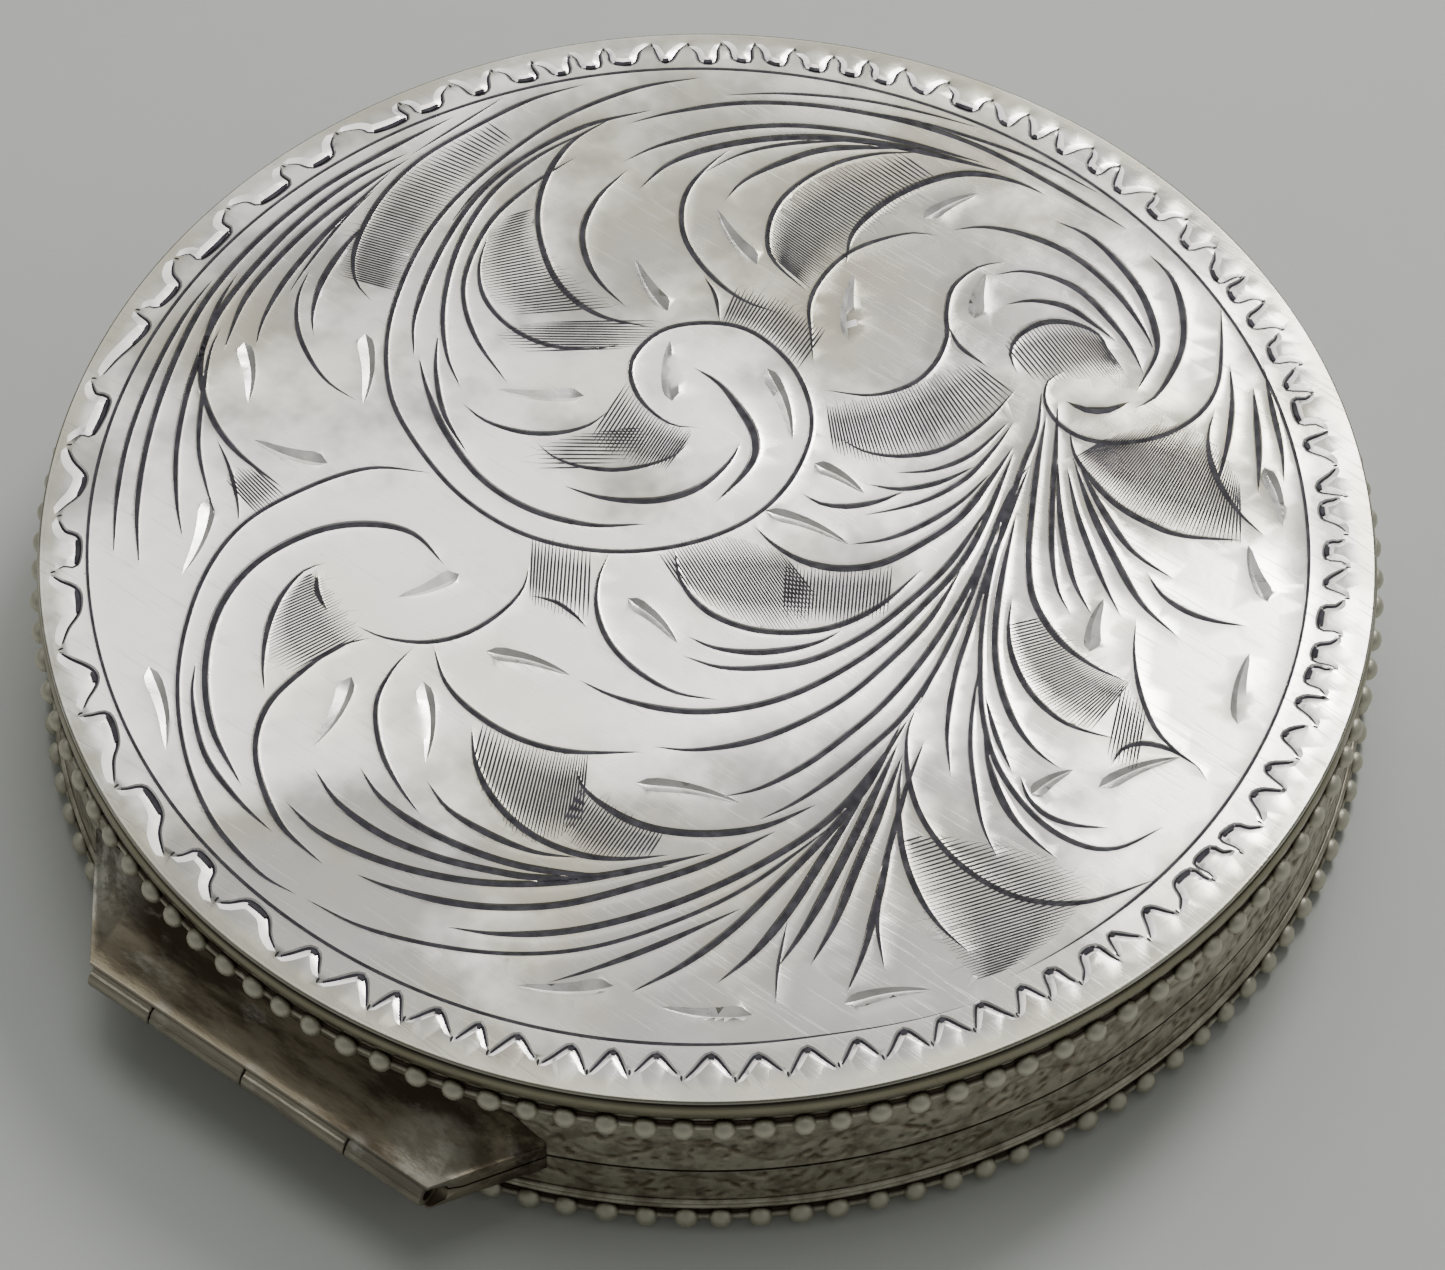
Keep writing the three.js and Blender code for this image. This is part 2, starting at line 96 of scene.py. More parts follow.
FEATHERS = [
    # round the top, converging to the right
    (0.14, [(-3.3, 20.45), (-1.5, 21.05), (1, 21.55), (3.5, 21.55), (6, 21.15), (8.5, 20.4), (11, 19.2),
            (14, 17.1), (16.6, 15.05)]),
    (0.1, [(6, 21.2), (8, 20.75), (10.5, 19.8), (13, 18.6), (15.7, 16.8)]),
    (0.09, [(0.5, 22.0), (3, 22.1), (6, 21.8), (8.5, 21.15), (10.9, 20.3)]),
    (0.15, [(-3.5, 18.4), (-2, 19.3), (0.5, 20.1), (3, 20.4), (5.5, 20.15), (8, 19.5), (11, 18.45)]),
    (0.2, [(-2.8, 17.0), (-1.6, 18.35), (0.2, 19.2), (2.5, 19.7), (5, 19.75), (8, 19.2), (11.7, 18.0)]),
    (0.12, [(-0.2, 17.9), (1.2, 18.85), (3, 19.4), (5.2, 19.6), (7, 19.45)]),
    (0.19, [(0.6, 16.4), (1.4, 17.5), (3, 18.5), (5, 19.2), (8.5, 19.25)]),
    # leaves that hang into the upper middle
    (0.13, [(8.6, 19.0), (6.8, 18.95), (5, 18.4), (3.5, 17.3), (2.6, 16), (2.3, 14.5), (2.6, 13.3),
            (3.9, 11.8)]),
    (0.14, [(0.9, 19.2), (0, 18.3), (-0.8, 17.1), (-1.1, 15.8), (-0.9, 14.3), (0, 12.7), (1.3, 11.4),
            (2.8, 10.7)]),
    (0.1, [(-0.2, 12.6), (0.25, 11.6), (0.45, 10.2)]),
    (0.17, [(-3.2, 18.1), (-4.4, 16.6), (-5.0, 14.9), (-4.8, 13.3), (-4.2, 12.1), (-3.2, 10.95)]),
    (0.16, [(-3.9, 20.75), (-5.5, 19.5), (-6.5, 17.6), (-6.8, 15.5), (-6.4, 13.3), (-5.6, 11.7),
            (-4.2, 10.5), (-2.2, 9.95)]),
    (0.15, [(-2.3, 21.2), (-5, 20.3), (-7.5, 18.6), (-9.3, 16.5), (-10.7, 13.5), (-11.5, 10.5),
            (-11.45, 8.3)]),
    (0.15, [(-4.9, 20.05), (-7, 18.6), (-8.7, 16.7), (-9.9, 14), (-10.4, 11), (-10.2, 8.6), (-9.55, 6.8)]),
    (0.14, [(-5.3, 18.7), (-7, 17.3), (-8.6, 15.4), (-9.5, 13), (-9.6, 11.2), (-9, 9.2), (-7.75, 7.1)]),
    (0.13, [(-8.7, 14.7), (-9.05, 13), (-8.8, 11.4), (-7.8, 10), (-6.4, 9.1), (-4.8, 8.85), (-3.3, 9.1)]),
    (0.06, [(-8, 18.4), (-9.3, 16.8), (-10.35, 15.0)]),
    (0.18, [(-11.3, 8.6), (-10.9, 6.8), (-10.1, 4.7), (-8.7, 2.5), (-6.8, 1.0), (-4.5, 0.25), (-2.3, 0.3)]),
    (0.15, [(-10.55, 9.8), (-10.6, 7.8), (-10.2, 5.6), (-9.2, 3.6)]),
    (0.15, [(-9.55, 6.2), (-8.6, 5.3), (-7.2, 4.75), (-5.8, 4.7), (-4.6, 5.1), (-3.75, 5.9)]),
    # inside the middle eye
    (0.24, [(-0.6, 8.0), (0.4, 7.2), (1.2, 6.0), (1.75, 4.8), (1.8, 3.7), (1.35, 2.7), (0.3, 1.35)]),
    (0.2, [(1.3, 4.4), (0.8, 3.3), (-0.3, 2.1), (-1.6, 1.5), (-2.9, 1.4), (-4.2, 1.6), (-5.55, 2.15)]),
    (0.13, [(-6.6, 4.25), (-6, 3.6), (-5, 3.1), (-3.6, 2.9), (-2.3, 3.15), (-1.2, 3.7), (-0.7, 4.4)]),
    # left plume
    (0.13, [(-19.4, 12.4), (-20.5, 10.4), (-21.5, 7.7), (-22.3, 4.5), (-22.6, 1.5), (-22.55, -1.4)]),
    (0.16, [(-10.25, 20.8), (-13, 18.9), (-15.5, 16.9), (-17.8, 14.3), (-19.6, 11.4), (-20.7, 8.4),
            (-21.5, 4.8), (-21.8, 1.2), (-21.55, -1.9)]),
    (0.16, [(-18.5, 12.6), (-19.2, 11), (-19.65, 9), (-20.2, 6.5), (-20.45, 3.8), (-20.3, 1.3),
            (-19.95, -0.6)]),
    (0.16, [(-12.0, 18.9), (-14.2, 17.4), (-16.2, 15.3), (-18, 12.7), (-19.3, 10.2), (-19.75, 8),
            (-19.3, 5.7), (-18.2, 3.8), (-16.2, 1.9)]),
    (0.13, [(-19.0, 9.9), (-19.4, 8.6), (-19.6, 6.2), (-19.6, 3.9), (-19.2, 2), (-18.75, 0.5)]),
    (0.11, [(-18.95, 4.4), (-18.4, 3), (-18, 1.4), (-17.85, 0.1)]),
    (0.16, [(-11.9, 18.65), (-13.6, 17.2), (-15.4, 15.4), (-17, 13.3), (-18.2, 11.2), (-18.9, 8.6)]),
    (0.15, [(-12.6, 18.0), (-13.7, 16.6), (-15.2, 14.6), (-16.6, 12.3), (-17.4, 10.3), (-17.65, 8.8)]),
    (0.09, [(-13.1, 17.2), (-14.5, 15.3), (-15.8, 13), (-16.55, 11.4)]),
    (0.13, [(-15.65, 12.9), (-16.1, 11.4), (-16.05, 9.8), (-15.5, 8.3), (-14.7, 7.1), (-13.6, 6.25)]),
    (0.17, [(-13.25, 15.6), (-14.3, 14.1), (-15.2, 12.2), (-15.5, 10.6), (-15.4, 9.4)]),
    (0.14, [(-5.0, 22.55), (-7.2, 21.7), (-9.5, 20.2), (-11.6, 18.5), (-13.1, 16.4), (-13.95, 14),
            (-13.9, 12.3), (-13.2, 11.2)]),
    (0.08, [(-8.2, 21.9), (-10, 20.4), (-12, 18.7)]),
    # lower left scroll, inside and below
    (0.16, [(-19.15, -6.1), (-19.2, -8), (-18.6, -10.5), (-17.3, -12.5), (-15.9, -14.0)]),
    (0.17, [(-12.6, -5.1), (-13.8, -5.5), (-15.1, -6.6), (-16.3, -8.1), (-16.75, -9.8), (-16.5, -11.6),
            (-15.6, -13.7), (-14, -15.4)]),
    (0.16, [(-14.45, -1.6), (-15.3, -2.0), (-16.1, -3.2), (-16.55, -4.7), (-16.65, -6.3), (-16.5, -7.8)]),
    (0.15, [(-14.8, -1.9), (-14.75, -3), (-14.3, -3.9)]),
    (0.16, [(-10.3, -5.35), (-9.8, -7.1), (-8.7, -8.5), (-7, -9.7), (-5, -10.3), (-2.3, -10.3)]),
    (0.15, [(-11, -5.5), (-11.8, -6.6), (-12.35, -8.2), (-12.1, -10.2), (-11.4, -11.8), (-10.5, -13.2)]),
    (0.12, [(-6.7, -3.1), (-5.7, -3.4), (-4.9, -4.1), (-4.5, -4.65)]),
    (0.15, [(-3.7, -1.0), (-4.15, -2.4), (-4.15, -3.9), (-3.6, -5.4), (-2.5, -6.7), (-1.1, -7.6),
            (0.5, -7.9)]),
    (0.17, [(-1.25, -0.8), (-1.0, -2.4), (0, -3.8), (1.6, -4.6), (3.4, -4.75), (5, -4.4), (6.6, -3.4),
            (8.2, -1.7)]),
    # middle fan, converging on the stem
    (0.14, [(5.0, 4.6), (6.0, 3.9), (7.3, 3.65), (8.8, 3.9), (10, 4.7), (11, 5.7), (11.95, 7.0)]),
    (0.14, [(7.2, 2.85), (8.7, 3.0), (10.2, 3.8), (11.7, 5.45)]),
    (0.16, [(6.1, 2.3), (7.4, 2.05), (8.9, 2.4), (10.3, 3.2)]),
    (0.15, [(5.95, 0.8), (7.2, 1.1), (8.5, 1.6), (9.9, 2.6), (11, 4), (11.85, 5.4)]),
    (0.17, [(3.6, 1.85), (4.3, 1.35), (5.3, 1.2), (6.5, 1.45), (7.6, 2.0)]),
    (0.17, [(5.4, -0.6), (6.8, -0.35), (8.2, 0.35), (9.7, 1.5), (10.9, 2.9)]),
    (0.2, [(1.75, 0.3), (2.5, -0.6), (3.6, -1.4), (5, -1.75), (6.6, -1.5), (8.2, -0.5), (9.7, 0.8),
           (11, 2.8), (11.8, 4.2)]),
    (0.19, [(-0.75, -4.95), (0.3, -5.5), (1.8, -5.7), (3.3, -5.5), (4.4, -5.1), (5.1, -4.6)]),
    (0.18, [(-0.95, -5.85), (0.5, -6.4), (2.2, -6.4), (4, -6.0), (6, -4.8), (7.7, -3.2), (9.3, -1.3),
            (10.9, 1.5)]),
    (0.18, [(-4.8, -7), (-3.5, -7.75), (-1.8, -8.3), (0, -8.45), (2, -8.1), (4, -7.2), (6.3, -5.5),
            (8.2, -3.4), (10, -0.8), (11.8, 3.9)]),
    (0.17, [(-2.0, -10.05), (-0.5, -10.2), (1.3, -9.9), (3, -9.2), (5, -7.9), (6.7, -6.2), (8.4, -4.1),
            (9.75, -1.5)]),
    (0.17, [(0.6, -12.3), (2, -11.9), (3.6, -10.9), (5.2, -9.5), (6.8, -7.8), (8.5, -5.3), (10.2, -1.9),
            (11.6, 1.9), (12.4, 3.3)]),
    (0.15, [(1.9, -13.35), (3.2, -12.6), (4.7, -11.4), (6.1, -10), (7.4, -8.5), (8.6, -6.4), (9.8, -3.5),
            (11, 0.1)]),
    # stem and the fan that hangs from it
    (0.15, [(12.95, 7.1), (12.7, 5), (12.1, 3.2), (11.4, 0.8), (10.8, -1.6), (10.4, -4), (10.25, -6.2),
            (10.3, -8.6), (10.8, -10.9), (12.1, -13.1), (13.6, -14.3), (15.1, -14.5), (16.9, -13.5)]),
    (0.18, [(13.1, 5.8), (12.7, 3.5), (12.4, 1.2), (12.2, -1.2), (12.35, -3.2), (13.2, -5.0), (14.4, -6.2),
            (15.7, -6.95)]),
    (0.16, [(13.55, 6.4), (13.35, 3.5), (13.15, 1), (13.1, -1.2), (13.3, -2.8), (13.75, -3.9)]),
    (0.18, [(13.45, 3.6), (13.45, 1.2), (13.65, -0.9), (13.95, -2.5), (14.55, -3.95)]),
    (0.16, [(13.8, 3.2), (14.1, 1), (14.6, -1), (15.1, -2.6), (15.65, -4.0)]),
    (0.19, [(14.05, 3.6), (14.6, 1.3), (15.4, -1), (16.4, -3.3), (17.8, -4.95)]),
    (0.18, [(14.1, 4), (14.8, 1.8), (15.8, -0.3), (16.6, -1.3), (17.75, -2.2)]),
    (0.16, [(16.65, -1.8), (17.2, -2.9), (18.1, -3.7), (19.2, -4.15), (20.4, -4.35)]),
    (0.17, [(13.95, 5.1), (14.1, 3.8), (14.7, 2.6), (15.6, 1.4), (16.7, 0.55), (18.1, -0.1), (20.4, -0.3)]),
    (0.16, [(12.4, 3.3), (11.4, 0.5), (10.6, -2), (9.9, -4.5), (9.3, -6.7), (8.95, -9.2), (9.05, -11.4)]),
    (0.13, [(10.4, -5.5), (9.95, -8), (9.8, -10), (9.95, -12), (10.2, -13.6), (10.7, -14.95)]),
    (0.19, [(10.3, -8.6), (10.5, -10.9), (11.1, -12.8), (11.9, -14), (12.9, -15)]),
    (0.14, [(10.4, -7.6), (10.75, -9.4), (11.35, -11.2)]),
    (0.19, [(11.8, 0.9), (11.2, -1.9), (10.85, -4.5), (10.9, -6.7), (11.4, -8.7), (12.2, -10.1),
            (13.15, -11.0)]),
    (0.15, [(11.6, -11.2), (11.9, -12.3), (12.6, -13.1), (13.6, -13.5), (14.85, -13.6)]),
    (0.16, [(11.55, -3), (11.35, -4.5), (11.5, -6), (12.1, -7.5), (13.1, -8.7), (14.1, -9.25),
            (15.3, -9.6)]),
    (0.13, [(16.2, -4.0), (16.05, -5.6), (16.2, -7.4), (16.7, -9.1), (17.5, -10.2), (18.2, -10.8),
            (18.55, -11.5)]),
    (0.16, [(15.0, -10.9), (15.4, -10.1), (16.2, -9.8), (17.3, -10.1), (18.3, -10.9)]),
    # inside the right scroll
    (0.2, [(17.35, 13.85), (18.2, 12.6), (18.55, 11), (18.5, 9.3), (18, 7.8), (17.3, 6.6), (16.5, 6.05)]),
    (0.19, [(13.7, 15.5), (14.9, 14.8), (15.9, 13.7), (16.9, 12), (17.4, 10.3), (17.45, 8.8),
            (16.6, 6.85)]),
    (0.17, [(9.6, 15.0), (10.9, 15.15), (12.5, 14.75), (14.3, 13.75), (15.9, 12), (17, 10), (17.4, 8.8)]),
    (0.17, [(11.2, 12.7), (12.3, 12.9), (13.5, 12.6), (14.7, 11.8), (15.8, 10.3), (16.5, 9), (16.95, 7.7)]),
    (0.17, [(11.6, 11.2), (12.7, 11.4), (14, 11.1), (15, 10.3), (15.95, 9.35)]),
    (0.16, [(12.05, 7.7), (11.75, 8.7), (12.1, 9.6), (13, 10.25), (14.1, 10.3), (15.2, 9.75),
            (15.7, 8.65)]),
    (0.22, [(13.85, 6.4), (14.6, 5.95), (15.5, 5.95), (16.35, 6.4)]),
    (0.12, [(9.35, 10.2), (9.8, 9.1), (10.9, 8.05)]),
    (0.2, [(13.4, 16.8), (12.4, 17.4), (11, 17.85), (9.8, 17.85), (8.5, 17.4), (7.2, 16.6), (6.2, 15.6),
           (5.6, 14.6), (5.4, 13.2)]),
    # by the right hand border
    (0.15, [(19.65, 6.1), (19.3, 4.8), (19.35, 3.4), (19.75, 2.1), (20.4, 0.9), (21.3, -0.15)]),
    (0.18, [(20.3, 8.3), (20.3, 6.5), (20.1, 4.8), (19.8, 3.4), (19.5, 2.3)]),
    (0.2, [(21.15, 7.2), (21.2, 5.5), (21.2, 3.8), (21.1, 1.95)]),
    (0.15, [(21.6, 8.3), (21.85, 6), (22.1, 4), (22.1, 2.4)]),
    # bottom plume
    (0.2, [(-4.85, -10.9), (-4.6, -11.8), (-3.8, -12.7), (-2.6, -13.5), (-1.2, -13.9), (0.5, -13.95),
           (2.2, -13.6), (4.1, -12.6)]),
    (0.17, [(-8.75, -9), (-8.6, -10.6), (-8.1, -12), (-7.2, -13.3), (-6, -14.3), (-4.5, -14.95),
            (-3, -15.1), (-1.3, -14.9)]),
    (0.18, [(-10.35, -11.6), (-9.5, -12.9), (-8, -14), (-6.3, -14.8), (-4.7, -15.05)]),
    (0.19, [(-12.85, -11), (-12, -12.4), (-10.5, -13.7), (-8.5, -14.8), (-6.5, -15.5), (-4.3, -15.8),
            (-2.8, -15.7)]),
    (0.19, [(-14.55, -11.05), (-13.6, -12.6), (-12, -14), (-10, -15), (-8, -15.6), (-6, -15.95),
            (-3.5, -15.8), (0.2, -14.8)]),
    (0.19, [(-15.5, -12.6), (-14.3, -13.9), (-12.5, -14.95), (-10.3, -15.75), (-7.8, -16.2), (-5, -16.1),
            (-1.3, -15.4)]),
    (0.19, [(-12.8, -15.8), (-11.5, -16.4), (-9.5, -17), (-7.5, -17.25), (-5.2, -17.1), (-2.8, -16.4),
            (0, -15.3), (2.6, -13.8)]),
    (0.18, [(-9.4, -18.1), (-7.5, -18.4), (-5.2, -18.3), (-2.8, -17.7), (-0.4, -16.7), (2, -15.3),
            (4.3, -13.5), (6, -11.4), (7.6, -8.6)]),
    (0.11, [(-14.6, -16.9), (-12.5, -18.1), (-9.8, -18.9), (-7, -19.25), (-4.3, -19.0), (-1.5, -18),
            (1.5, -16.3), (4.85, -13.4)]),
    (0.16, [(-5.7, -20.5), (-3.8, -19.8), (-1.6, -18.8), (1.35, -17.2)]),
    (0.19, [(-2.7, -20.9), (-0.8, -19.7), (1, -18.1), (2.8, -16), (4.8, -13.5), (6.2, -11.3), (7.3, -8.8)]),
    (0.22, [(0.4, -20.5), (1.8, -19.1), (3.1, -17.2), (4.4, -14.8), (5.9, -12.1)]),
    (0.22, [(2.6, -19.8), (3.6, -18.1), (4.7, -15.8), (5.8, -13.2), (7.15, -9.8)]),
    (0.22, [(3.8, -19.7), (4.7, -17.8), (5.5, -15.5), (6.4, -13), (7.3, -10.3)]),
    (0.2, [(5.1, -20.9), (5.7, -19.2), (6.2, -17.2), (6.6, -15.3), (7.0, -13.2)]),
    (0.15, [(8.15, -9.6), (7.5, -11.5), (7.0, -13.4), (6.5, -15.6), (6.25, -17.8), (6.5, -19.9)]),
    (0.08, [(2.55, -21.4), (2.6, -20), (2.75, -19), (3.0, -17.7)]),
    # the leaf at the bottom right
    (0.14, [(7.85, -8.1), (7.45, -9.5), (7.5, -11.5), (8, -13.3), (9, -14.9), (10.4, -16.15), (12, -16.85),
            (14, -16.85), (16.5, -15.85)]),
    (0.15, [(7.3, -10.3), (7.1, -12.2), (7.2, -14.5), (7.7, -16.4), (8.5, -17.9), (9.6, -19.1)]),
    (0.1, [(7.9, -8.1), (8.35, -7), (8.75, -6.2)]),
]
# Shading: (number of lines, first line, middle line, last line)
SHADING = [
    (61, (-14.3, 12.45, -12.2, 11.75), (-13.3, 16.2, -10.9, 15.3), (-8.9, 20.5, -7.9, 19.6)),
    (36, (-7.9, 15.6, -7.0, 15.95), (-9.0, 12.8, -6.3, 13.5), (-7.5, 10.6, -3.7, 11.0)),
    (12, (-6.5, 10.2, -2.25, 10.3), (-8.1, 9.6, -2.3, 9.5), (-7.0, 8.75, -3.3, 8.9)),
    (55, (7.6, 19.0, 9.0, 17.7), (3.3, 16.8, 5.9, 14.6), (2.5, 13.6, 3.9, 12.1)),
    (27, (0.55, 10.25, 1.1, 11.9), (2.0, 9.5, 3.0, 11.2), (3.5, 8.0, 4.55, 9.9)),
    (26, (11.5, 9.3, 12.7, 7.4), (13.2, 10.4, 14.9, 7.6), (15.1, 9.9, 16.2, 7.8)),
    (50, (4.6, 6.1, 4.85, 3.9), (7.2, 6.9, 8.3, 3.8), (10.3, 8.3, 11.9, 6.7)),
    (27, (-4.5, 4.5, -3.2, 7.1), (-3.0, 3.3, -1.9, 5.5), (-1.6, 3.0, -0.6, 4.8)),
    (12, (-3.6, 4.9, -2.5, 4.95), (-6.2, 4.15, -2.5, 4.1), (-6.4, 3.0, -3.9, 3.05)),
    (17, (-6.65, -0.35, -6.7, -3.3), (-5.6, -0.6, -5.75, -3.9), (-4.45, -0.95, -4.5, -4.2)),
    (38, (-1.8, -1.15, -1.0, -2.6), (0.3, -0.3, 2.6, -4.6), (2.9, -1.1, 4.1, -3.0)),
    (30, (3.0, -1.6, 2.9, -3.8), (5.0, -1.8, 4.8, -4.3), (7.0, -1.7, 6.8, -3.8)),
    (59, (14.1, 3.6, 15.3, 4.5), (16.3, 0.9, 18.6, 5.0), (20.3, -0.35, 20.4, 2.3)),
    (42, (11.3, -4.4, 12.7, -4.0), (12.0, -7.3, 14.5, -6.0), (14.3, -9.2, 15.9, -6.9)),
    (9, (14.9, -10.3, 15.6, -7.0), (15.4, -10.8, 16.0, -7.6), (15.9, -11.0, 16.4, -8.2)),
    (11, (-18.5, 2.4, -17.2, 0.75), (-18.1, 2.8, -16.7, 1.1), (-17.5, 3.0, -16.2, 1.6)),
    (29, (-15.3, -2.35, -14.9, -2.1), (-16.6, -5.1, -13.9, -3.5), (-15.3, -6.7, -13.0, -5.0)),
    (34, (-8.65, -10.9, -8.3, -9.0), (-6.8, -14, -6.1, -10.2), (-4.6, -13.5, -4.4, -10.4)),
    (27, (-5.3, -13.6, -4.6, -11.9), (-4.2, -14.9, -3.1, -13.0), (-2.1, -14.95, -1.55, -13.9)),
    (44, (7.15, -14.3, 8.1, -13.95), (8.3, -17.8, 13.6, -15.9), (9.9, -20.2, 11.0, -19.75)),
]
# Leaf-shaped bright cuts: (round end, pointed end)
LEAVES = [
    ((-4.8, 6.55), (-8.2, 6.85)), ((-1.4, 6.3), (-1.5, 9.3)), ((2.25, 8.0), (3.25, 4.4)),
    ((4.1, 3.3), (6.0, 1.85)), ((2.2, 1.0), (5.4, -0.6)), ((-3.0, -3.2), (-1.1, -5.3)),
    ((-8.3, -5.7), (-5.1, -6.8)), ((1.9, 13.2), (0.3, 16.0)), ((-1.6, 10.8), (-2.9, 13.4)),
    ((5.5, 9.4), (5.7, 12.7)), ((8.5, 15.6), (10.7, 16.9)), ((10.4, 10.5), (10.9, 12.8)),
    ((-13.4, 9.6), (-13.35, 6.1)), ((-18.1, 9.1), (-17.8, 6.1)), ((-14.6, 3.2), (-17.5, 4.3)),
    ((-19, 1.5), (-19.9, -2.2)), ((-9.4, -2.1), (-11.7, -3.2)), ((-20.9, -6.5), (-20.05, -10.3)),
    ((-13.3, -6.9), (-14.6, -10.1)), ((-10.6, -7.1), (-10.4, -10.8)), ((-2.6, -11.7), (1.3, -12.6)),
    ((-3.3, -20.6), (-6.8, -20.6)), ((1.7, -21.8), (-1.6, -21.5)), ((5.0, -21.3), (8.2, -20.7)),
    ((12.0, -12.1), (13.6, -11.0)), ((14.5, -11.8), (17.6, -10.4)), ((21.4, 3.2), (21.95, 0.4)),
    ((21.2, -3.2), (20.6, -0.5)), ((19.8, -8.9), (20.4, -5.6)), ((14.4, -5.6), (15.0, -3.1)),
]


# ---- small helpers ----
def smooth_step(value, low, high):
    share = min(1.0, max(0.0, (value - low) / (high - low)))
    return share * share * (3 - 2 * share)


def to_box(u, v):
    """Artwork position to the box's own X and Y."""
    c, s = math.cos(ART_TURN), math.sin(ART_TURN)
    return u * c - v * s, u * s + v * c


def spline(points, step=0.35):
    """A smooth curve through the points."""
    ends = [Vector(p) for p in points]
    ends = [ends[0] * 2 - ends[1]] + ends + [ends[-1] * 2 - ends[-2]]
    curve = []
    for p0, p1, p2, p3 in zip(ends, ends[1:], ends[2:], ends[3:]):
        count = max(2, int((p2 - p1).length / step))
        for i in range(count):
            t = i / count
            curve.append(0.5 * (p1 * 2 + (p2 - p0) * t + (p0 * 2 - p1 * 5 + p2 * 4 - p3) * t * t
                                + (p1 * 3 - p0 - p2 * 3 + p3) * t ** 3))
    curve.append(ends[-2])
    return curve


def piece(name, points, faces, body, materials, replaces=(), angle=30, slots=None):
    """A mesh object from millimetre points, smooth apart from edges sharper than angle."""
    mesh = bpy.data.meshes.new(name)
    mesh.from_pydata([(x * MM, y * MM, z * MM) for x, y, z in points], [], faces)
    mesh.validate()
    for material in materials:
        mesh.materials.append(material)
    if slots:
        mesh.polygons.foreach_set("material_index", slots)
    mesh.shade_smooth()
    mesh.set_sharp_from_angle(angle=math.radians(angle))
    thing = bpy.data.objects.new(name, mesh)
    bpy.context.scene.collection.objects.link(thing)
    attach(thing, body)
    if replaces:
        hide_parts(*replaces)


def number_loops(start, count, size):
    """The point numbers of count loops of size points each, the first of them at start."""
    return [list(range(first, first + size)) for first in range(start, start + count * size, size)]


def skin(faces, loops, closed=False, flip=False):
    """Faces between neighbouring loops of point numbers. closed joins the last loop to the first."""
    for a, b in zip(loops, loops[1:] + loops[:closed]):
        for j in range(len(a)):
            k = (j + 1) % len(a)
            face = (a[j], b[j], b[k], a[k])
            faces.append(face[::-1] if flip else face)


def cap(points, faces, loop, centre, flip=False):
    """Closes a loop of point numbers with a fan to a centre point."""
    points.append(centre)
    for a, b in zip(loop, loop[1:] + loop[:1]):
        faces.append((b, a, len(points) - 1) if flip else (a, b, len(points) - 1))


def lathe(profile, count=288, wave=None):
    """Points and faces of a closed profile of (radius, height) turned round Z. wave changes the radius."""
    points, faces = [], []
    for i in range(count):
        turn = 2 * math.pi * i / count
        for radius, height in profile:
            r = radius + (wave(turn, radius, height) if wave else 0)
            points.append((r * math.cos(turn), r * math.sin(turn), height))
    skin(faces, number_loops(0, count, len(profile)), closed=True)
    return points, faces


def arc(cx, cz, radius, start, end, steps=6):
    """Points of an arc in a profile, angles in degrees."""
    turns = [math.radians(start + (end - start) * i / steps) for i in range(steps + 1)]
    return [(cx + radius * math.cos(t), cz + radius * math.sin(t)) for t in turns]


def add_rings(points, profile, count, wobble=None):
    """Adds a ring of points round Z for each (radius, height). Returns the rings as lists of point numbers.

    wobble changes the radius at a turn and a height."""
    start = len(points)
    for radius, height in profile:
        for i in range(count):
            turn = 2 * math.pi * i / count
            r = radius + (wobble(turn, height) if wobble else 0)
            points.append((r * math.cos(turn), r * math.sin(turn), height))
    return number_loops(start, len(profile), count)


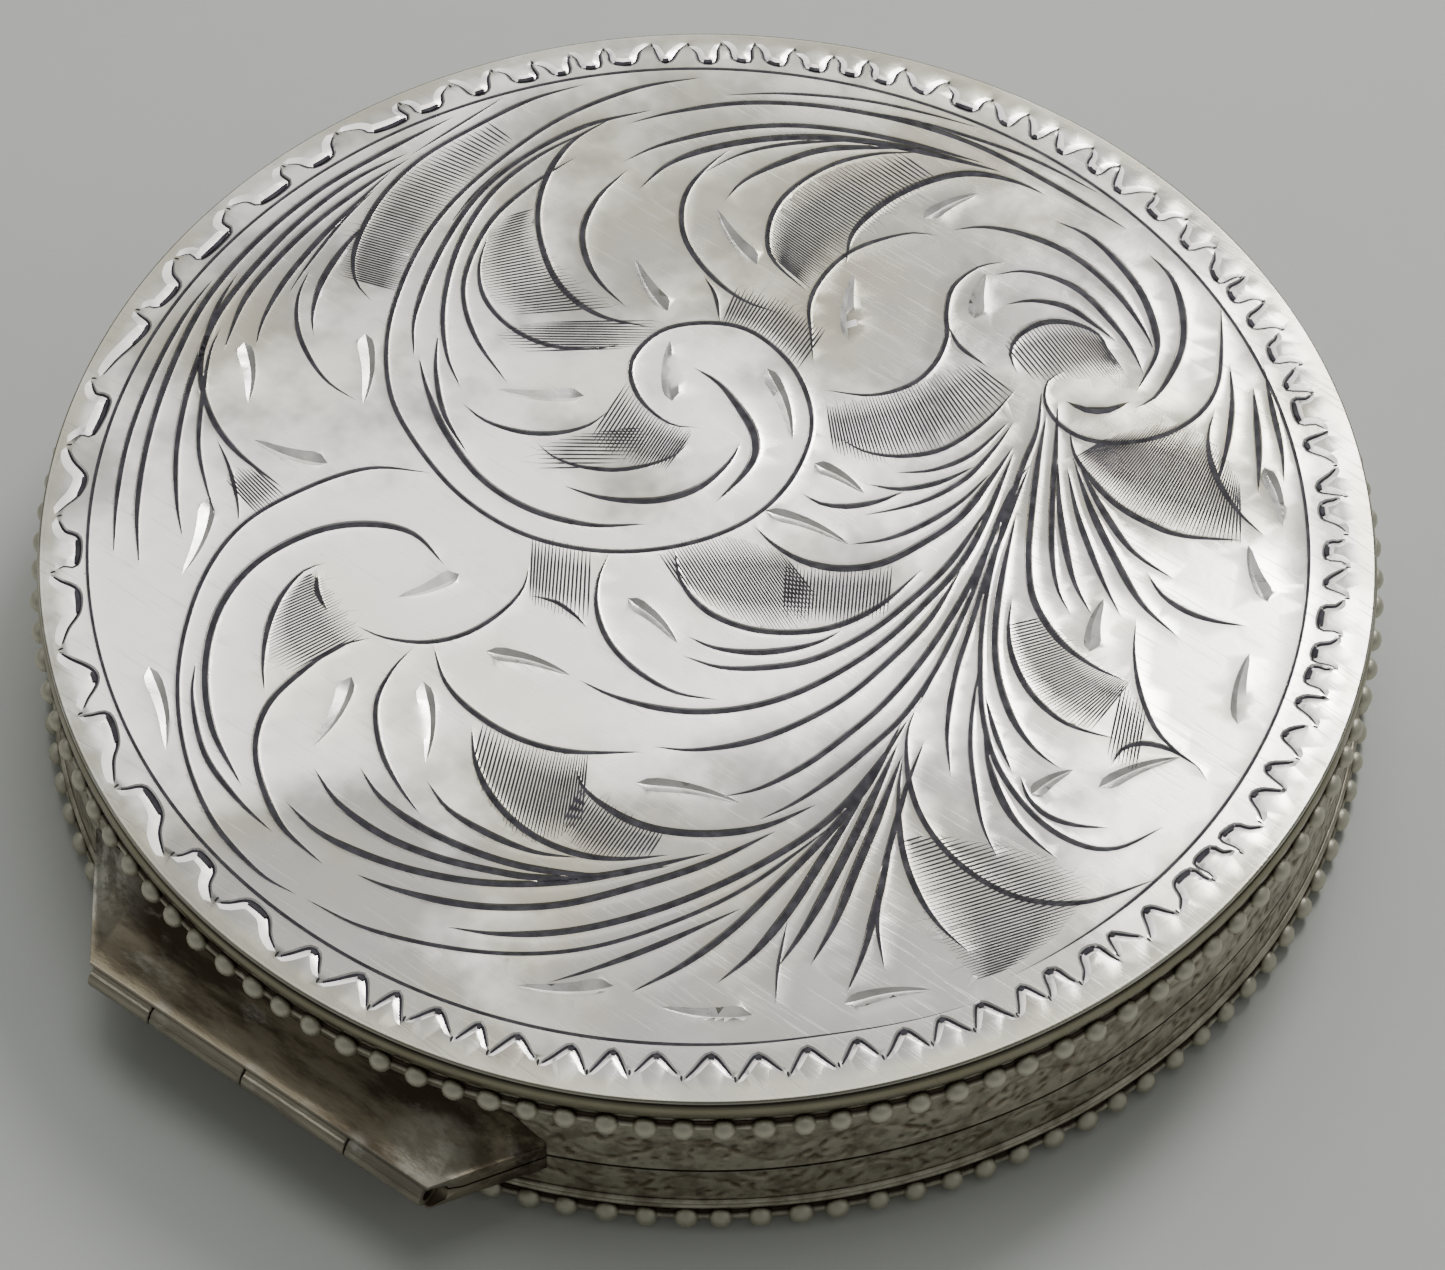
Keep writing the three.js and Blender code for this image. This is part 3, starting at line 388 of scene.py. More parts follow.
# ---- materials ----
class Nodes:
    """Builds one procedural metal."""

    def __init__(self, name):
        self.material = bpy.data.materials.new(name)
        self.material.use_nodes = True
        self.tree = self.material.node_tree
        self.shader = self.tree.nodes["Principled BSDF"]
        self.place = self.add("ShaderNodeTexCoord").outputs["Object"]

    def add(self, kind, links=None, **settings):
        node = self.tree.nodes.new(kind)
        for key, value in settings.items():
            setattr(node, key, value)
        for key, value in (links or {}).items():
            socket = node.inputs[key]
            if isinstance(value, bpy.types.NodeSocket):
                self.tree.links.new(value, socket)
            else:
                socket.default_value = value
        return node

    def noise(self, per_mm, detail=3.0, rough=0.55, stretch=(1, 1, 1), turn=0.0):
        moved = self.add("ShaderNodeMapping", {"Vector": self.place, "Rotation": (0, 0, turn),
                                               "Scale": tuple(1000 * s for s in stretch)})
        node = self.add("ShaderNodeTexNoise", {"Vector": moved.outputs[0], "Scale": per_mm,
                                               "Detail": detail, "Roughness": rough})
        return node.outputs["Fac"]

    def ramp(self, value, low, high, bottom=0.0, top=1.0):
        links = {"Value": value, "From Min": low, "From Max": high, "To Min": bottom, "To Max": top}
        return self.add("ShaderNodeMapRange", links, interpolation_type="SMOOTHSTEP").outputs[0]

    def sum(self, a, b, how="ADD"):
        return self.add("ShaderNodeMath", {0: a, 1: b}, operation=how).outputs[0]

    def mix(self, share, a, b):
        node = self.add("ShaderNodeMix", {"Factor": share, "A": a, "B": b}, data_type="RGBA")
        return node.outputs["Result"]

    def near(self, x, y, z, reach):
        """1 at a place, fading to 0 at reach millimetres from it."""
        away = self.add("ShaderNodeVectorMath", {0: self.place, 1: (x * MM, y * MM, z * MM)},
                        operation="DISTANCE").outputs["Value"]
        return self.ramp(away, 0.0, reach * MM, 1.0, 0.0)

    def spot(self, u, v, reach):
        """The same for a place on the lid's top."""
        return self.near(*to_box(u, v), TOP, reach)

    def radius(self):
        flat = self.add("ShaderNodeVectorMath", {0: self.place, 1: (1, 1, 0)}, operation="MULTIPLY")
        return self.add("ShaderNodeVectorMath", {0: flat.outputs[0]}, operation="LENGTH").outputs["Value"]

    def height(self):
        return self.add("ShaderNodeSeparateXYZ", {0: self.place}).outputs["Z"]

    def bump(self, value, strength, depth_mm, after=None):
        links = {"Height": value, "Strength": strength, "Distance": depth_mm * MM}
        if after:
            links["Normal"] = after
        return self.add("ShaderNodeBump", links).outputs["Normal"]

    def finish(self, colour, roughness, normal):
        for key, value in (("Base Color", colour), ("Roughness", roughness), ("Normal", normal)):
            self.tree.links.new(value, self.shader.inputs[key])
        self.shader.inputs["Metallic"].default_value = 1.0
        return self.material


def rgb(r, g, b):
    return (r, g, b, 1.0)


SILVER = rgb(0.95, 0.918, 0.885)
GREY_SILVER = rgb(0.325, 0.31, 0.292)
BROWN = rgb(0.13, 0.098, 0.06)
# Clouds of thicker and thinner film on the top, set as painted shade, heaviest on the side nearer the eye,
# and as painted highlights where under 0: (right, away, reach, how much thicker, or thinner if it is under 0)
FILM_SHADE_AND_HIGHLIGHT_CLOUDS = [
    (2, 17.5, 13, 0.8), (-14, 15, 9, 0.6), (17, 15, 9, 0.6), (1, -19, 13, 1.7), (-15, -17, 7.5, 1.9),
    (9, -18, 9, 1.3), (-2, 2, 7, 0.5), (8, 10, 9, 0.6), (-8, -4, 12, -1.2), (-19, -5, 10, -2.2),
    (-2, -7, 9, -0.9), (5, -7, 8, -0.6), (3, 5, 8, -0.9), (19, -7, 8, -1.7), (17, -13, 6, -0.7),
]


def scratches(m):
    """Hairline scratches in three directions, from long thin noise."""
    total = None
    for turn, stretch in ((0.5, (0.5, 14, 1)), (1.9, (0.4, 12, 1)), (2.7, (0.6, 16, 1))):
        line = m.ramp(m.noise(0.55, 2.0, 0.5, stretch, turn), 0.63, 0.72)
        total = line if total is None else m.sum(total, line, "MAXIMUM")
    return total


def polished_silver():
    """Rubbed silver: a grey tarnish layer in clouds, made heavier on the side nearer the eye as painted shade
    and thinner in spots as painted highlights, a warm bloom, specks, scratches, a dull rim, a side darkened
    partly by tarnish and partly as painted shade, and a near-black band in the recess under the edge.
    """
    m = Nodes("polished_silver")
    film_and_painted_light = m.ramp(m.noise(0.16, 4.0, 0.6), 0.36, 0.66)
    # Painted light: the clouds thicken the film as painted shade, most on the side nearer the eye, and thin
    # it as painted highlights.
    for u, v, reach, more in FILM_SHADE_AND_HIGHLIGHT_CLOUDS:
        film_and_painted_light = m.sum(film_and_painted_light, m.sum(m.spot(u, v, reach), more, "MULTIPLY"))
    film_and_painted_light = m.ramp(film_and_painted_light, -0.45, 1.15)
    speck = m.ramp(m.noise(1.7, 5.0, 0.7), 0.69, 0.74)
    where = m.ramp(m.noise(0.22, 2.0), 0.52, 0.62)
    speck = m.sum(speck, where, "MULTIPLY")
    lines = scratches(m)
    far = m.mix(m.spot(2, 19, 17), GREY_SILVER, rgb(0.355, 0.338, 0.288))
    colour = m.mix(film_and_painted_light, SILVER, far)
    bloom = m.sum(m.ramp(m.noise(0.11, 4.0, 0.6), 0.42, 0.66), 0.8, "MULTIPLY")
    colour = m.mix(bloom, colour, m.mix(film_and_painted_light, rgb(0.9, 0.86, 0.73), rgb(0.34, 0.315, 0.245)))
    rim = m.ramp(m.radius(), 24.5 * MM, 25.0 * MM)
    patches = m.ramp(m.noise(0.4, 4.0, 0.6), 0.35, 0.65, 0.5, 0.95)
    colour = m.mix(m.sum(rim, patches, "MULTIPLY"), colour, rgb(0.41, 0.388, 0.31))
    colour = m.mix(m.sum(lines, 0.22, "MULTIPLY"), colour, rgb(0.5, 0.49, 0.46))
    colour = m.mix(m.sum(speck, 0.5, "MULTIPLY"), colour, rgb(0.22, 0.19, 0.14))
    # The side below the top edge is darkened olive brown, partly as tarnish and partly as painted shade for
    # the shaded floor it reflects.
    side = m.ramp(m.height(), (TOP - 0.36) * MM, (TOP - 0.3) * MM, 1.0, 0.0)
    darkening = m.sum(side, m.ramp(m.noise(0.5, 4.0), 0.3, 0.7, 0.7, 0.95), "MULTIPLY")
    colour = m.mix(darkening, colour, rgb(0.25, 0.225, 0.15))
    # The recess just under the rolled edge is made near black.
    groove = m.sum(side, m.ramp(m.height(), (TOP - 0.54) * MM, (TOP - 0.44) * MM), "MULTIPLY")
    colour = m.mix(m.sum(groove, 0.9, "MULTIPLY"), colour, rgb(0.03, 0.025, 0.022))
    rough = m.ramp(m.noise(0.3, 3.0), 0.3, 0.7, 0.22, 0.31)
    rough = m.sum(rough, m.sum(lines, 0.1, "MULTIPLY"))
    normal = m.bump(m.noise(3.0, 5.0, 0.65), 0.35, 0.01)
    normal = m.bump(lines, 0.25, -0.006, normal)
    return m.finish(colour, rough, normal)


def bright_silver():
    """Bare metal with no film on it: the faces of the bright cuts, and the lip that the thumb rubs."""
    m = Nodes("bright_silver")
    colour = m.mix(m.ramp(m.noise(0.6, 4.0), 0.4, 0.75), SILVER, rgb(0.72, 0.7, 0.65))
    rough = m.ramp(m.noise(1.1, 3.0), 0.3, 0.7, 0.24, 0.36)
    return m.finish(colour, rough, m.bump(m.noise(3.0, 4.0, 0.6), 0.4, 0.01))


def chased_silver():
    """Worn silver with brown oxide left in the low places."""
    m = Nodes("chased_silver")
    low = m.ramp(m.radius(), 25.28 * MM, 25.4 * MM, 1.0, 0.0)
    cloud = m.ramp(m.noise(0.9, 5.0, 0.65), 0.35, 0.65)
    darkening = m.sum(low, cloud, "MAXIMUM")
    darkening = m.sum(m.sum(darkening, 0.62, "MULTIPLY"), m.sum(low, 0.3, "MULTIPLY"))
    colour = m.mix(darkening, rgb(0.58, 0.545, 0.44), BROWN)
    rough = m.ramp(m.noise(1.2, 3.0), 0.3, 0.7, 0.36, 0.52)
    normal = m.bump(m.noise(2.6, 5.0, 0.7), 0.5, 0.03)
    return m.finish(colour, rough, normal)


def beaded_silver():
    """Beads rubbed bright on their crowns, black-brown between them."""
    m = Nodes("beaded_silver")
    wear = m.sum(m.radius(), m.sum(m.noise(1.3, 4.0), 0.18 * MM, "MULTIPLY"))
    wear = m.ramp(wear, 25.52 * MM, 25.68 * MM)
    colour = m.mix(wear, rgb(0.075, 0.055, 0.038), rgb(0.6, 0.575, 0.47))
    rough = m.ramp(wear, 0.0, 1.0, 0.6, 0.52)
    normal = m.bump(m.noise(2.4, 5.0, 0.7), 0.6, 0.04)
    return m.finish(colour, rough, normal)


def tarnished_silver():
    """Brown tarnish in streaks along the hinge, with painted shade darkening the cove towards the wall under
    the beads, a painted highlight along the lug's outer edge and the outer side of the barrel, painted
    highlights on the lug's two ends, lighter patches near the knuckle ends, and patches rubbed bright where
    handled.
    """
    m = Nodes("tarnished_silver")
    streak = m.ramp(m.noise(0.8, 5.0, 0.65, (0.25, 1, 1)), 0.36, 0.66)
    # Painted shade: darker towards the wall under the beads, standing in for the shade in the hollow of the
    # cove.
    corner = m.ramp(m.radius(), 25.6 * MM, 26.8 * MM, 1.0, 0.0)
    darkening = m.sum(m.sum(streak, 0.65, "MULTIPLY"), m.sum(corner, 0.5, "MULTIPLY"))
    darkening = m.ramp(darkening, 0.0, 1.0)
    rub_and_painted_highlight = m.sum(m.ramp(m.noise(0.9, 6.0, 0.7, (0.4, 1, 1)), 0.56, 0.76), 0.5, "MULTIPLY")
    # Painted highlight: lighter along the lug's outer edge, which also lightens the outer side of the barrel.
    away = m.add("ShaderNodeSeparateXYZ", {0: m.place}).outputs["Y"]
    edge = m.ramp(away, 27.13 * MM, LUG_EDGE_Y * MM)
    rub_and_painted_highlight = m.sum(rub_and_painted_highlight, m.sum(edge, 0.3, "MULTIPLY"), "MAXIMUM")
    # Lighter spots as (x, y, z, reach): the two on the lug's ends are painted highlights, the rest lie near
    # the knuckle ends.
    worn = [(9.9, 24.2, 4.6, 3.6), (-7.2, 26.2, 4.4, 2.2)]
    worn += [(high - 0.4, HINGE_Y + 0.35, SEAM + 0.45, 0.8) for low, high in KNUCKLES[:3]]
    patchy = m.ramp(m.noise(1.3, 5.0, 0.7, (0.5, 1, 1)), 0.38, 0.62, 0.25, 1.0)
    for x, y, z, reach in worn:
        rub_and_painted_highlight = m.sum(rub_and_painted_highlight, m.sum(m.near(x, y, z, reach), patchy, "MULTIPLY"), "MAXIMUM")
    colour = m.mix(darkening, rgb(0.275, 0.235, 0.165), rgb(0.064, 0.047, 0.03))
    colour = m.mix(m.sum(rub_and_painted_highlight, 0.8, "MULTIPLY"), colour, rgb(0.62, 0.605, 0.53))
    rough = m.ramp(darkening, 0.0, 1.0, 0.38, 0.55)
    normal = m.bump(m.noise(1.9, 6.0, 0.7, (0.3, 1, 1)), 0.6, 0.05)
    return m.finish(colour, rough, normal)


def patina():
    """Black oxide that fills the engraved cuts."""
    m = Nodes("patina")
    colour = m.mix(m.ramp(m.noise(1.5, 3.0), 0.4, 0.7), rgb(0.012, 0.0105, 0.018), rgb(0.036, 0.032, 0.048))
    rough = m.ramp(m.noise(2.0, 2.0), 0.3, 0.7, 0.55, 0.75)
    done = m.finish(colour, rough, m.bump(m.noise(5.0, 2.0), 0.2, 0.01))
    m.shader.inputs["Metallic"].default_value = 0.0
    return done


def inner_silver():
    """Satin inside faces with turning marks and a warm bloom of tarnish."""
    m = Nodes("inner_silver")
    rings = {"Vector": m.place, "Scale": 900.0, "Distortion": 2.0, "Detail": 2.0}
    turning = m.add("ShaderNodeTexWave", rings, wave_type="RINGS", rings_direction="Z").outputs["Fac"]
    bloom = m.ramp(m.noise(0.12, 4.0, 0.6), 0.4, 0.68)
    colour = m.mix(bloom, rgb(0.84, 0.81, 0.74), rgb(0.7, 0.64, 0.53))
    rough = m.ramp(m.noise(0.5, 3.0), 0.3, 0.7, 0.3, 0.42)
    normal = m.bump(turning, 0.12, 0.01)
    normal = m.bump(m.noise(1.5, 4.0), 0.3, 0.01, normal)
    return m.finish(colour, rough, normal)


# ---- engraving ----
class Cut:
    """One graver cut: a curve with a width either side and a depth at each of its points."""

    def __init__(self, points, left, right, depth, steep=False, burr=0.0):
        self.points, self.left, self.right, self.depth = points, left, right, depth
        self.steep, self.burr = steep, burr

    def sides(self, burr=0.0):
        """Left edge, middle and right edge at each point, the edges burr times further out if it is given."""
        found = []
        last = len(self.points) - 1
        for i, point in enumerate(self.points):
            along = self.points[min(last, i + 1)] - self.points[max(0, i - 1)]
            normal = Vector((-along.y, along.x)).normalized()
            out = 1 + burr
            found.append((point + normal * self.left[i] * out, point, point - normal * self.right[i] * out))
        return found

    def depth_at(self, x, y):
        """How far the cut goes below the surface at a place: under 0 on the burr beside it, 0 outside."""
        best, deepest = 1e9, 0.0
        for i in range(len(self.points) - 1):
            a, b = self.points[i], self.points[i + 1]
            dx, dy = b.x - a.x, b.y - a.y
            t = ((x - a.x) * dx + (y - a.y) * dy) / (dx * dx + dy * dy)
            t = min(1.0, max(0.0, t))
            ox, oy = x - a.x - dx * t, y - a.y - dy * t
            away = math.hypot(ox, oy)
            if away < best:
                best = away
                side = self.left if dx * oy - dy * ox > 0 else self.right
                width = side[i] + (side[i + 1] - side[i]) * t
                full = self.depth[i] + (self.depth[i + 1] - self.depth[i]) * t
                deepest = 0.0
                if width > 1e-6 and away < width * 0.985:
                    deepest = full * (1 - away / width) - self.burr * away
                elif width > 1e-6 and away < width * BURR_REACH:
                    deepest = -self.burr * width * (BURR_REACH - away / width) / (BURR_REACH - 1)
        return deepest if abs(deepest) > 0.0008 else 0.0


def swelling_cut(width, points):
    """A line that swells from a hair to its full width and thins out again."""
    curve = spline(points)
    lengths = [0.0]
    for a, b in zip(curve, curve[1:]):
        lengths.append(lengths[-1] + (b - a).length)
    total = lengths[-1]
    lead = min(3.2, total * 0.42)
    half = []
    for at in lengths:
        share = min(1.0, at / lead) ** 0.75 * min(1.0, (total - at) / lead) ** 0.75
        half.append(width / 2 * share)
    return Cut(curve, half, half, [h * LINE_DEPTH for h in half], burr=0.17)


def ring_cut():
    """The line round the picture. Its two ends pass each other at the lower right."""
    curve, half = [], []
    steps = 300
    for i in range(steps + 1):
        share = i / steps
        turn = math.radians(-61 + 358 * share)
        radius = 23.25 + 0.4 * smooth_step(share, 0.95, 1.0)
        curve.append(Vector((-0.35 + radius * math.cos(turn), 0.15 + radius * math.sin(turn))))
        half.append(0.075 * min(1.0, share * 25, (1 - share) * 12))
    return Cut(curve, half, half, [h * LINE_DEPTH for h in half], burr=0.13)


def leaf_cut(blunt, tip):
    """A short wide cut, round at one end and pointed at the other."""
    a, b = Vector(blunt), Vector(tip)
    bow = Vector((-(b - a).y, (b - a).x)) * 0.06
    curve, wide, narrow, depth = [], [], [], []
    for i in range(11):
        t = i / 10
        curve.append(a.lerp(b, t) + bow * math.sin(math.pi * t))
        shape = min(1.0, (t * 6.0)) ** 0.5 * (1 - t) ** 0.6
        wide.append(0.46 * shape)
        narrow.append(0.3 * shape)
        depth.append(0.12 * shape)
    return Cut(curve, narrow, wide, depth, burr=0.13)


def short_cut(points, wide, narrow, depth, steep=False, sharp=0.5):
    """A short wedge through the points, thin at both ends."""
    curve = spline(points, 0.16)
    left, right, deep = [], [], []
    for i in range(len(curve)):
        shape = math.sin(math.pi * i / (len(curve) - 1)) ** sharp if 0 < i < len(curve) - 1 else 0.0
        left.append(narrow * shape)
        right.append(wide * shape)
        deep.append(depth * shape)
    return Cut(curve, left, right, deep, steep)


def border_cuts():
    """The wriggled border, cut by walking a flat graver round the edge.

    Each cut dips from the rim towards the ring and back. The dips are long on the left and make a zigzag
    on the near side. Returns the bright cuts, and the dark nicks where the graver turned.
    """
    bright, dark = [], []
    turn = 0.0

    def polar(marks):
        return [(math.cos(turn + step * s) * r, math.sin(turn + step * s) * r) for s, r in marks]

    while turn < 2 * math.pi - 0.03:
        left = smooth_step(math.cos(turn - math.radians(175)), 0.35, 0.8)
        zigzag = smooth_step(math.cos(turn - math.radians(262)), 0.6, 0.95)
        step = (1.65 + 1.5 * left) / 24.2 * rng.uniform(0.78, 1.2)
        low = 23.76 + 0.26 * math.cos(turn - math.radians(150)) + rng.uniform(-0.06, 0.06)
        high = low + 0.98 + rng.uniform(-0.08, 0.1)
        flat = 0.05 + 0.17 * (1 - zigzag) * rng.uniform(0.1, 1.2)
        tilt = rng.uniform(-0.2, 0.2) * (1 - 0.6 * zigzag)
        last = high + rng.uniform(-0.25, 0.1)
        lift = rng.uniform(-0.04, 0.16) * (1 - zigzag)
        dip = [(0.03, high), (0.19 + tilt * 0.6, (low + high) / 2 + 0.1), (0.48 - flat + tilt, low),
               (0.52 + flat + tilt, low + 0.03 + lift), (0.81 + tilt * 0.6, (low + last) / 2 + 0.1),
               (0.97, last)]
        wide = 0.23 + 0.17 * left + 0.05 * (1 - zigzag)
        bright.append(short_cut(polar(dip), wide, 0.17, 0.085, steep=True, sharp=0.3))
        nick = polar([(0.42 - flat + tilt, low + 0.06), (0.5 + tilt, low - 0.02),
                      (0.58 + flat + tilt, low + 0.06 + lift)])
        dark.append(short_cut(nick, 0.12, 0.07, 0.09))
        tick = polar([(0.0, high - 0.24), (0.0, high - 0.12), (0.01, high + 0.02)])
        dark.append(short_cut(tick, 0.055, 0.045, 0.06))
        turn += step
    return bright, dark


def shading_cuts():
    """Fine parallel lines. Each patch runs from a first line through a middle one to a last one."""
    cuts = []
    for count, first, middle, last in SHADING:
        for i in range(count):
            t = i / (count - 1)
            line = [a * (1 - t) * (1 - 2 * t) + b * 4 * t * (1 - t) + c * t * (2 * t - 1)
                    for a, b, c in zip(first, middle, last)]
            slip = [rng.uniform(-0.12, 0.12) for _ in range(2)]
            a, b = Vector(line[:2]), Vector(line[2:])
            way = (b - a).normalized()
            curve = [a + way * slip[0], a.lerp(b, 0.3), a.lerp(b, 0.7), b + way * slip[1]]
            half = [0.01, 0.042, 0.042, 0.01]
            cuts.append(Cut(curve, half, half, [h * LINE_DEPTH for h in half]))
    return cuts


def undulation(x, y):
    """Gentle waves left by the hammer and by wear."""
    return (0.012 * math.sin(0.31 * x + 0.22 * y + 0.6) + 0.010 * math.sin(0.27 * y - 0.35 * x + 2.0)
            + 0.006 * math.sin(0.62 * x + 0.4) * math.sin(0.55 * y + 1.1))


def surface(x, y):
    """Height of the uncut top. It is level where it meets the rim."""
    inward = FLAT_RADIUS - math.hypot(x, y)
    worn = 0.12 * smooth_step(0.85 - inward, 0.0, 0.85)
    return TOP - 0.03 - worn + (undulation(x, y) - 0.005) * smooth_step(inward, 0.0, 3.0)


def engrave(dark_cuts, bright_cuts, count):
    """The cut top as points and triangles in the box's frame, its rim's point numbers in order, and which
    triangles lie in a bright cut."""
    plan, edges = [], []
    cuts = dark_cuts + bright_cuts

    def chain(run):
        start = len(plan)
        plan.extend(run)
        edges.extend((start + i, start + i + 1) for i in range(len(run) - 1))

    for i in range(count):
        turn = 2 * math.pi * i / count
        plan.append(Vector((FLAT_RADIUS * math.cos(turn), FLAT_RADIUS * math.sin(turn))))
        edges.append((i, (i + 1) % count))
    for cut in cuts:
        for run in zip(*cut.sides()):
            chain([Vector(to_box(p.x, p.y)) for p in run])
        if cut.burr:
            left, _, right = zip(*cut.sides(BURR_REACH - 1))
            chain([Vector(to_box(p.x, p.y)) for p in left])
            chain([Vector(to_box(p.x, p.y)) for p in right])
    reach = int(FLAT_RADIUS)
    for i in range(-reach, reach + 1):
        for j in range(-reach, reach + 1):
            spot = Vector((i + 0.5 * (j % 2) + 0.013, j * 0.9 + 0.007))
            if spot.length < FLAT_RADIUS - 0.7:
                plan.append(spot)
    flat, _, triangles, _, _, _ = geometry.delaunay_2d_cdt(plan, edges, [], 0, 1e-5)
    depths = cut_depths(flat, cuts)
    points = [(p.x, p.y, surface(p.x, p.y) - d) for p, d in zip(flat, depths)]
    rim = [i for i, p in enumerate(flat) if p.length > FLAT_RADIUS - 1e-4]
    rim.sort(key=lambda i: math.atan2(flat[i].y, flat[i].x) % (2 * math.pi))
    faces = []
    for a, b, c in triangles:
        turning = (flat[b] - flat[a]).cross(flat[c] - flat[a])
        faces.append((a, b, c) if turning > 0 else (a, c, b))
    middles = [(flat[a] + flat[b] + flat[c]) / 3 for a, b, c in faces]
    fresh = [depth > 0 for depth in cut_depths(middles, bright_cuts)]
    return points, faces, rim, fresh


def cut_depths(flat, cuts):
    """The deepest cut at each point."""
    c, s = math.cos(-ART_TURN), math.sin(-ART_TURN)
    cell = 0.5
    grid = {}
    art = []
    for i, p in enumerate(flat):
        u, v = p.x * c - p.y * s, p.x * s + p.y * c
        art.append((u, v))
        grid.setdefault((int(u // cell), int(v // cell)), []).append(i)
    depths = [0.0] * len(flat)
    for cut in cuts:
        reach = max(max(cut.left), max(cut.right)) * (BURR_REACH if cut.burr else 1) + 0.01
        cells = set()
        for a, b in zip(cut.points, cut.points[1:]):
            steps = max(1, int((b - a).length / 0.2))
            for k in range(steps + 1):
                p = a.lerp(b, k / steps)
                for du in (-reach, 0, reach):
                    for dv in (-reach, 0, reach):
                        cells.add((int((p.x + du) // cell), int((p.y + dv) // cell)))
        for key in cells:
            for i in grid.get(key, ()):
                depth = cut.depth_at(*art[i])
                if depth > 0 or depths[i] <= 0:
                    depths[i] = max(depths[i], depth) if depth > 0 else min(depths[i], depth)
    return depths


def patina_strip(cut, points, faces):
    """A closed three-sided strip of oxide lying in the bottom of one cut."""
    shares = (0.55, 0.03) if cut.steep else (0.9, 0.9)
    rows = []
    for i, (left, middle, right) in enumerate(cut.sides()):
        if cut.left[i] < 0.003:
            continue
        row = []
        for spot, part in ((left, shares[0]), (middle, 0), (right, shares[1])):
            place = middle.lerp(spot, part) if part else middle
            x, y = to_box(place.x, place.y)
            if part:
                drop = cut.depth[i] * ((1 - part) * 0.92 if cut.steep else 0.16)
            else:
                drop = cut.depth[i] + 0.004
            row.append((x, y, surface(x, y) - drop))
        rows.append(row)
    if len(rows) < 2:
        return
    loops = number_loops(len(points), len(rows), 3)
    for row in rows:
        points.extend(row)
    skin(faces, loops)
    faces.append(tuple(loops[0]))
    faces.append(tuple(loops[-1][::-1]))


def lid_plate(metal, inside, fresh, oxide):
    """The engraved top with its rolled shoulder and its satin underside, and the oxide in the dark cuts."""
    count = 360
    lines = [swelling_cut(width * LINE_WEIGHT, run) for width, run in SCROLLS + FEATHERS] + [ring_cut()]
    shades = shading_cuts()
    wedges, ends = border_cuts()
    leaves = [leaf_cut(a, b) for a, b in LEAVES]
    points, faces, rim, in_bright_cut = engrave(lines + shades + ends, wedges + leaves, count)
    outside = [(25.2, TOP - 0.154), (25.27, TOP - 0.163), (25.33, TOP - 0.17)]
    outside += arc(25.37, TOP - 0.27, 0.1, 85, -20, 7)
    outside += [(25.45, TOP - 0.33), (25.4, TOP - 0.37), (25.4, TOP - 0.42), (25.44, TOP - 0.47),
                (25.5, TOP - 0.54), (25.55, TOP - 0.67), (25.57, TOP - 0.85), (25.55, TOP - 1.05),
                (25.48, TOP - 1.22), (25.4, SKIRT_BOTTOM)]
    underneath = [(25.38, SKIRT_BOTTOM + 0.03), (25.38, UNDERSIDE + 0.06), (25.3, UNDERSIDE),
                   (24.0, UNDERSIDE - 0.005), (16.0, UNDERSIDE + 0.01), (8.0, UNDERSIDE + 0.02)]
    slots = [2 if bright else 0 for bright in in_bright_cut]

    def wobble(turn, height):
        return 0.006 * math.sin(9 * turn + height) if height > UNDERSIDE + 0.1 else 0

    # Four points of border cuts lie outside the edge and come with the rim. Only its first count are joined.
    rings = [rim[:count]] + add_rings(points, outside + underneath, count, wobble)
    skin(faces, rings)
    cap(points, faces, rings[-1], (0, 0, UNDERSIDE + 0.02), flip=True)
    slots += [0] * (count * len(outside))
    slots += [1] * (len(faces) - len(slots))
    piece("lid_plate_engraved", points, faces, "lid", [metal, inside, fresh],
          ["lid_plate"], 22, slots)
    points, faces = [], []
    for cut in lines + shades + ends + wedges:
        patina_strip(cut, points, faces)
    piece("engraving_patina", points, faces, "lid", [oxide])


# ---- beaded wires ----
def spheroid(points, faces, centre, across, up, out, turn):
    """One bead: a ball stretched across, up and outwards, facing turn."""
    around, rows = 14, 8
    loops = number_loops(len(points), rows - 1, around)
    c, s = math.cos(turn), math.sin(turn)
    for j in range(1, rows):
        lat = math.pi * j / rows
        for i in range(around):
            lon = 2 * math.pi * i / around
            a = math.cos(lat) * out
            b = math.sin(lat) * math.cos(lon) * across
            z = math.sin(lat) * math.sin(lon) * up
            points.append((centre[0] + a * c - b * s, centre[1] + a * s + b * c, centre[2] + z))
    skin(faces, loops)
    cap(points, faces, loops[0], (centre[0] + out * c, centre[1] + out * s, centre[2]))
    cap(points, faces, loops[-1], (centre[0] - out * c, centre[1] - out * s, centre[2]), flip=True)


def beading(name, body, node, metal, height):
    """A row of round beads on a thin neck of wire."""
    neck = [(25.39, height - 0.3)] + arc(25.39, height, 0.16, -80, 80, 8) + [(25.39, height + 0.3)]
    points, faces = lathe(neck, 336)
    for i in range(BEAD_COUNT):
        turn = 2 * math.pi * (i + rng.uniform(-0.06, 0.06)) / BEAD_COUNT
        across, up = 0.47 * rng.uniform(0.93, 1.06), 0.49 * rng.uniform(0.95, 1.0)
        out = 0.41 * rng.uniform(0.93, 1.0)
        r = WALL_RADIUS + 0.16
        z = height + rng.uniform(-0.02, 0.02)
        spheroid(points, faces, (r * math.cos(turn), r * math.sin(turn), z), across, up, out, turn)
    piece(name, points, faces, body, [metal], [node], 40)


